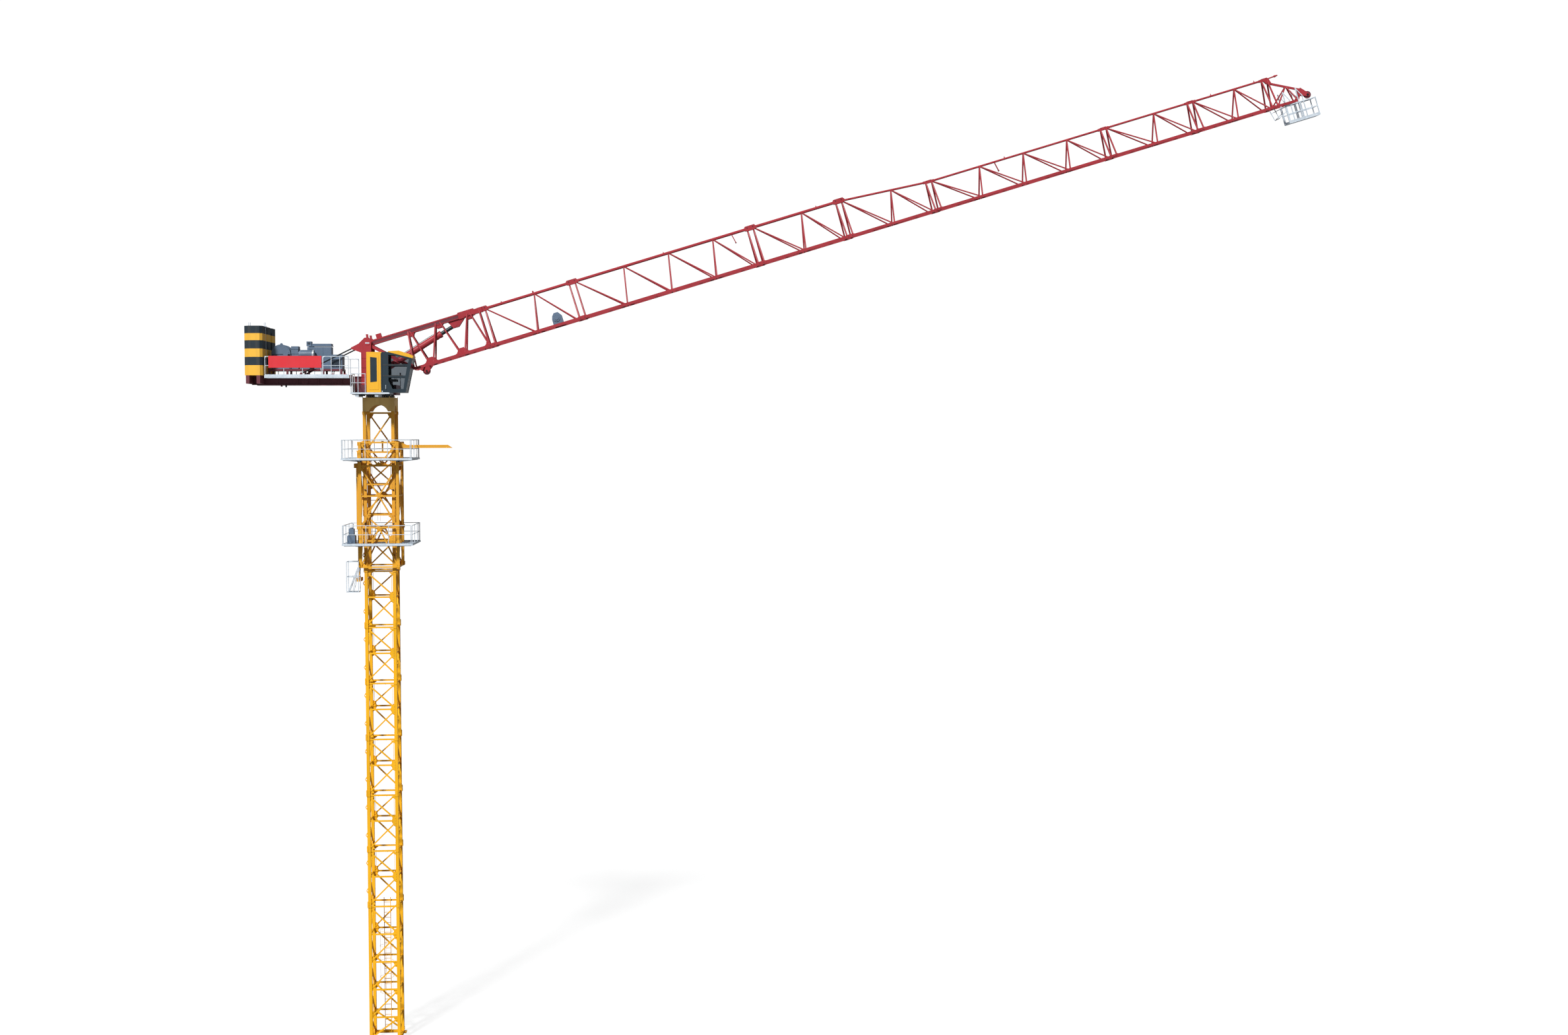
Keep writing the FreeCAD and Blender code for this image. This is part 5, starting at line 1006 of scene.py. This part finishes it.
def cylinder_details():
    """End rings, gland bolts and the pressure pipe of the luffing cylinder."""
    axis = Vector(joints["rod_slide"]["axis"]).normalized()
    tilt = X.rotation_difference(axis).to_matrix().to_4x4()
    place = Matrix.Translation(joint_place("cylinder_tilt")) @ tilt
    barrel = Piece("cylinder_rings", "luffing_barrel", JIB_RED, place)
    length = 2.15
    for along in (0.28, 0.9, 1.5, length - 0.16):
        barrel.rod((along, 0, 0), (along + 0.03, 0, 0), 0.091, 32)
    for turn in around(12):
        barrel.bolt(X * length + polar(turn, Y, Z) * 0.07, X, 0.012)
    pipe = Piece("cylinder_pipe", "luffing_barrel", BLACK_STEEL, place)
    route = ((0.3, 0.086), (0.32, 0.1), (0.4, 0.104), (1.9, 0.104), (1.97, 0.1), (1.99, 0.086))
    pipe.tube([(along, 0.02, rise) for along, rise in route], 0.008)


def tip_basket_details():
    """Grating, inclined posts and the left bracket of the basket under the jib's head."""
    place = JIB @ Matrix.Translation((HEAD, 0, LOWER))
    grate = Piece("tip_basket_grating", "jib", ZINC_DARK, place)
    frames = Piece("tip_basket_brackets", "jib", ZINC, place)
    floor, half = -BASKET_DROP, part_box("tip_basket")[1].y
    left, right, end = 0.28, 1.173, half - 0.01
    for along in sweep(21, left + 0.02, right - 0.02):
        grate.bar((along, -end, floor + 0.004), (along, end, floor + 0.004), 0.004, 0.008, across=X)
    for across in (-0.12, 0.0, 0.12):
        grate.bar((left + 0.01, across, floor + 0.006), (right - 0.01, across, floor + 0.006), 0.006, 0.01)
    posts = ((0.32, 0.33), (0.45, 0.08), (0.69, 0.34), (0.82, 0.11))
    knee, low = 0.05, -0.33
    for side in SIDES:
        y = side * (half - 0.012)
        for along, top in posts:
            frames.bar((along, y, floor), (along, y, top), 0.014, 0.026)
        for (start, first), (stop, second) in (posts[:2], posts[2:]):
            frames.bar((start, y, first - 0.01), (stop, y, second - 0.01), 0.012, 0.02)
        board = Vector((0, y + side * 0.006, floor + 0.03))
        frames.bar(board + X * left, board + X * right, 0.006, 0.06)
        y = side * (half - 0.03)
        frames.bar((-0.02, y, -0.035), (knee, y, low), 0.012, 0.02)
        frames.bar((knee, y, low), (left + 0.02, y, -0.2), 0.012, 0.02)
        frames.bar((-0.02, y, -0.12), (left + 0.02, y, -0.08), 0.01, 0.016)
    frames.bar((knee, 0.03 - half, low), (knee, half - 0.03, low), 0.012, 0.02, across=X)


def head_details():
    """The finial and its plates at the jib's upper corner, and the pin caps of the two sheaves."""
    red = Piece("jib_head_finial", "jib", JIB_RED, JIB)
    level = top_level(HEAD)
    broad = (HEAD + 0.31, 0, level + 0.018)
    red.rod((HEAD + 0.26, 0, level + 0.015), broad, 0.016, 14, end_radius=0.034)
    red.rod(broad, (HEAD + 0.385, 0, level + 0.022), 0.034, 14, end_radius=0.012)
    outline = ((-0.03, 0.03), (0.1, 0.03), (0.13, -0.03), (0.17, -0.17), (0.04, -0.13), (-0.03, -0.04))
    for y in (-0.036, 0.028):
        red.plate(outline, y, 0.008, (HEAD, level))
    pins = Piece("jib_head_pins", "jib", BLACK_STEEL)
    for name, start, end, radius in (("tip_sheave_turn", 0.045, 0.058, 0.032),
                                     ("root_sheave_turn", 0.038, 0.05, 0.028)):
        axle = joint_place(name)
        for side in SIDES:
            pins.rod(axle + Y * side * start, axle + Y * side * end, radius, 20)


for make in (mast_bolts, mast_gussets, ladder_hoops, cage_decks, cage_details, basket_struts,
             power_pack_details, pedestal_details, transition_details, walkway_details, girder_details,
             counterweight_details, service_boxes, motor_details, hood_details, drum_rope, railing_corners,
             column_details, service_platform_details, cab_details, cab_interior, cab_seat_cover,
             cab_seat_base,
             jib_joint_details, jib_gussets, root_chord_flanges, jib_small_parts, jib_winch_details,
             cylinder_details, tip_basket_details, head_details):
    make()
while unfinished:
    unfinished[0].finish()


# ---- floor, light and camera

def seen_and_lit(tree, lit, seen, output):
    """Show one shader to the camera and let the other one light the scene."""
    choice = tree.nodes.new("ShaderNodeMixShader")
    tree.links.new(tree.nodes.new("ShaderNodeLightPath").outputs["Is Camera Ray"], choice.inputs[0])
    tree.links.new(lit, choice.inputs[1])
    tree.links.new(seen, choice.inputs[2])
    tree.links.new(choice.outputs["Shader"], tree.nodes[output].inputs["Surface"])


def make_floor():
    """A wide pale floor that shows almost white, with a faint shadow."""
    mesh = bpy.data.meshes.new("floor")
    disc = bmesh.new()
    bmesh.ops.create_circle(disc, cap_ends=True, radius=420, segments=96)
    disc.to_mesh(mesh)
    disc.free()
    floor = bpy.data.objects.new("floor", mesh)
    bpy.context.scene.collection.objects.link(floor)
    look = Look("pale_floor")
    look.set(look.shader, Base_Color=(0.26, 0.26, 0.26), Roughness=1.0, Specular_IOR_Level=0.0)
    shade = look.node("BsdfDiffuse", Color=(0.2, 0.2, 0.2))
    glow = look.node("Emission", Strength=0.84)
    both = look.tree.nodes.new("ShaderNodeAddShader")
    look.tree.links.new(shade.outputs["BSDF"], both.inputs[0])
    look.tree.links.new(glow.outputs["Emission"], both.inputs[1])
    seen_and_lit(look.tree, look.shader.outputs["BSDF"], both.outputs["Shader"], "Material Output")
    mesh.materials.append(look.material)


def make_light():
    """A white backdrop, a soft sky and one broad sun from the front left."""
    world = bpy.data.worlds.new("studio")
    bpy.context.scene.world = world
    world.use_nodes = True
    tree = world.node_tree
    backdrop = tree.nodes["Background"]
    sky = tree.nodes.new("ShaderNodeBackground")
    for node, colour, strength in ((backdrop, (1, 1, 1, 1), 1.05), (sky, (0.95, 0.98, 1, 1), 0.26)):
        node.inputs["Color"].default_value = colour
        node.inputs["Strength"].default_value = strength
    seen_and_lit(tree, sky.outputs["Background"], backdrop.outputs["Background"], "World Output")
    sun = bpy.data.lights.new("sun", "SUN")
    sun.energy = 4.1
    sun.angle = math.radians(7)
    lamp = bpy.data.objects.new("sun", sun)
    lamp.location = (-20, -34, 40)
    lamp.rotation_euler = Vector((0.37, 0.93, -0.9)).to_track_quat("-Z", "Y").to_euler()
    bpy.context.scene.collection.objects.link(lamp)


def make_camera():
    """The camera stands level with the cage, turned a little to the right and down."""
    width_in_focal_lengths = 0.792
    data = bpy.data.cameras.new("camera")
    data.sensor_width = 36
    data.lens = data.sensor_width / width_in_focal_lengths
    data.clip_end = 2000
    camera = bpy.data.objects.new("camera", data)
    yaw, pitch, roll = math.radians(3.931), math.radians(2.5), math.radians(-0.12)
    forward = Vector((math.sin(yaw) * math.cos(pitch), math.cos(yaw) * math.cos(pitch), -math.sin(pitch)))
    camera.rotation_mode = "QUATERNION"
    level = forward.to_track_quat("-Z", "Y")
    camera.rotation_quaternion = level @ Matrix.Rotation(roll, 4, "Z").to_quaternion()
    camera.location = (7.110, -53.516, 16.343)
    bpy.context.scene.collection.objects.link(camera)
    bpy.context.scene.camera = camera


make_floor()
make_light()
make_camera()
bpy.context.scene.view_settings.view_transform = "Standard"
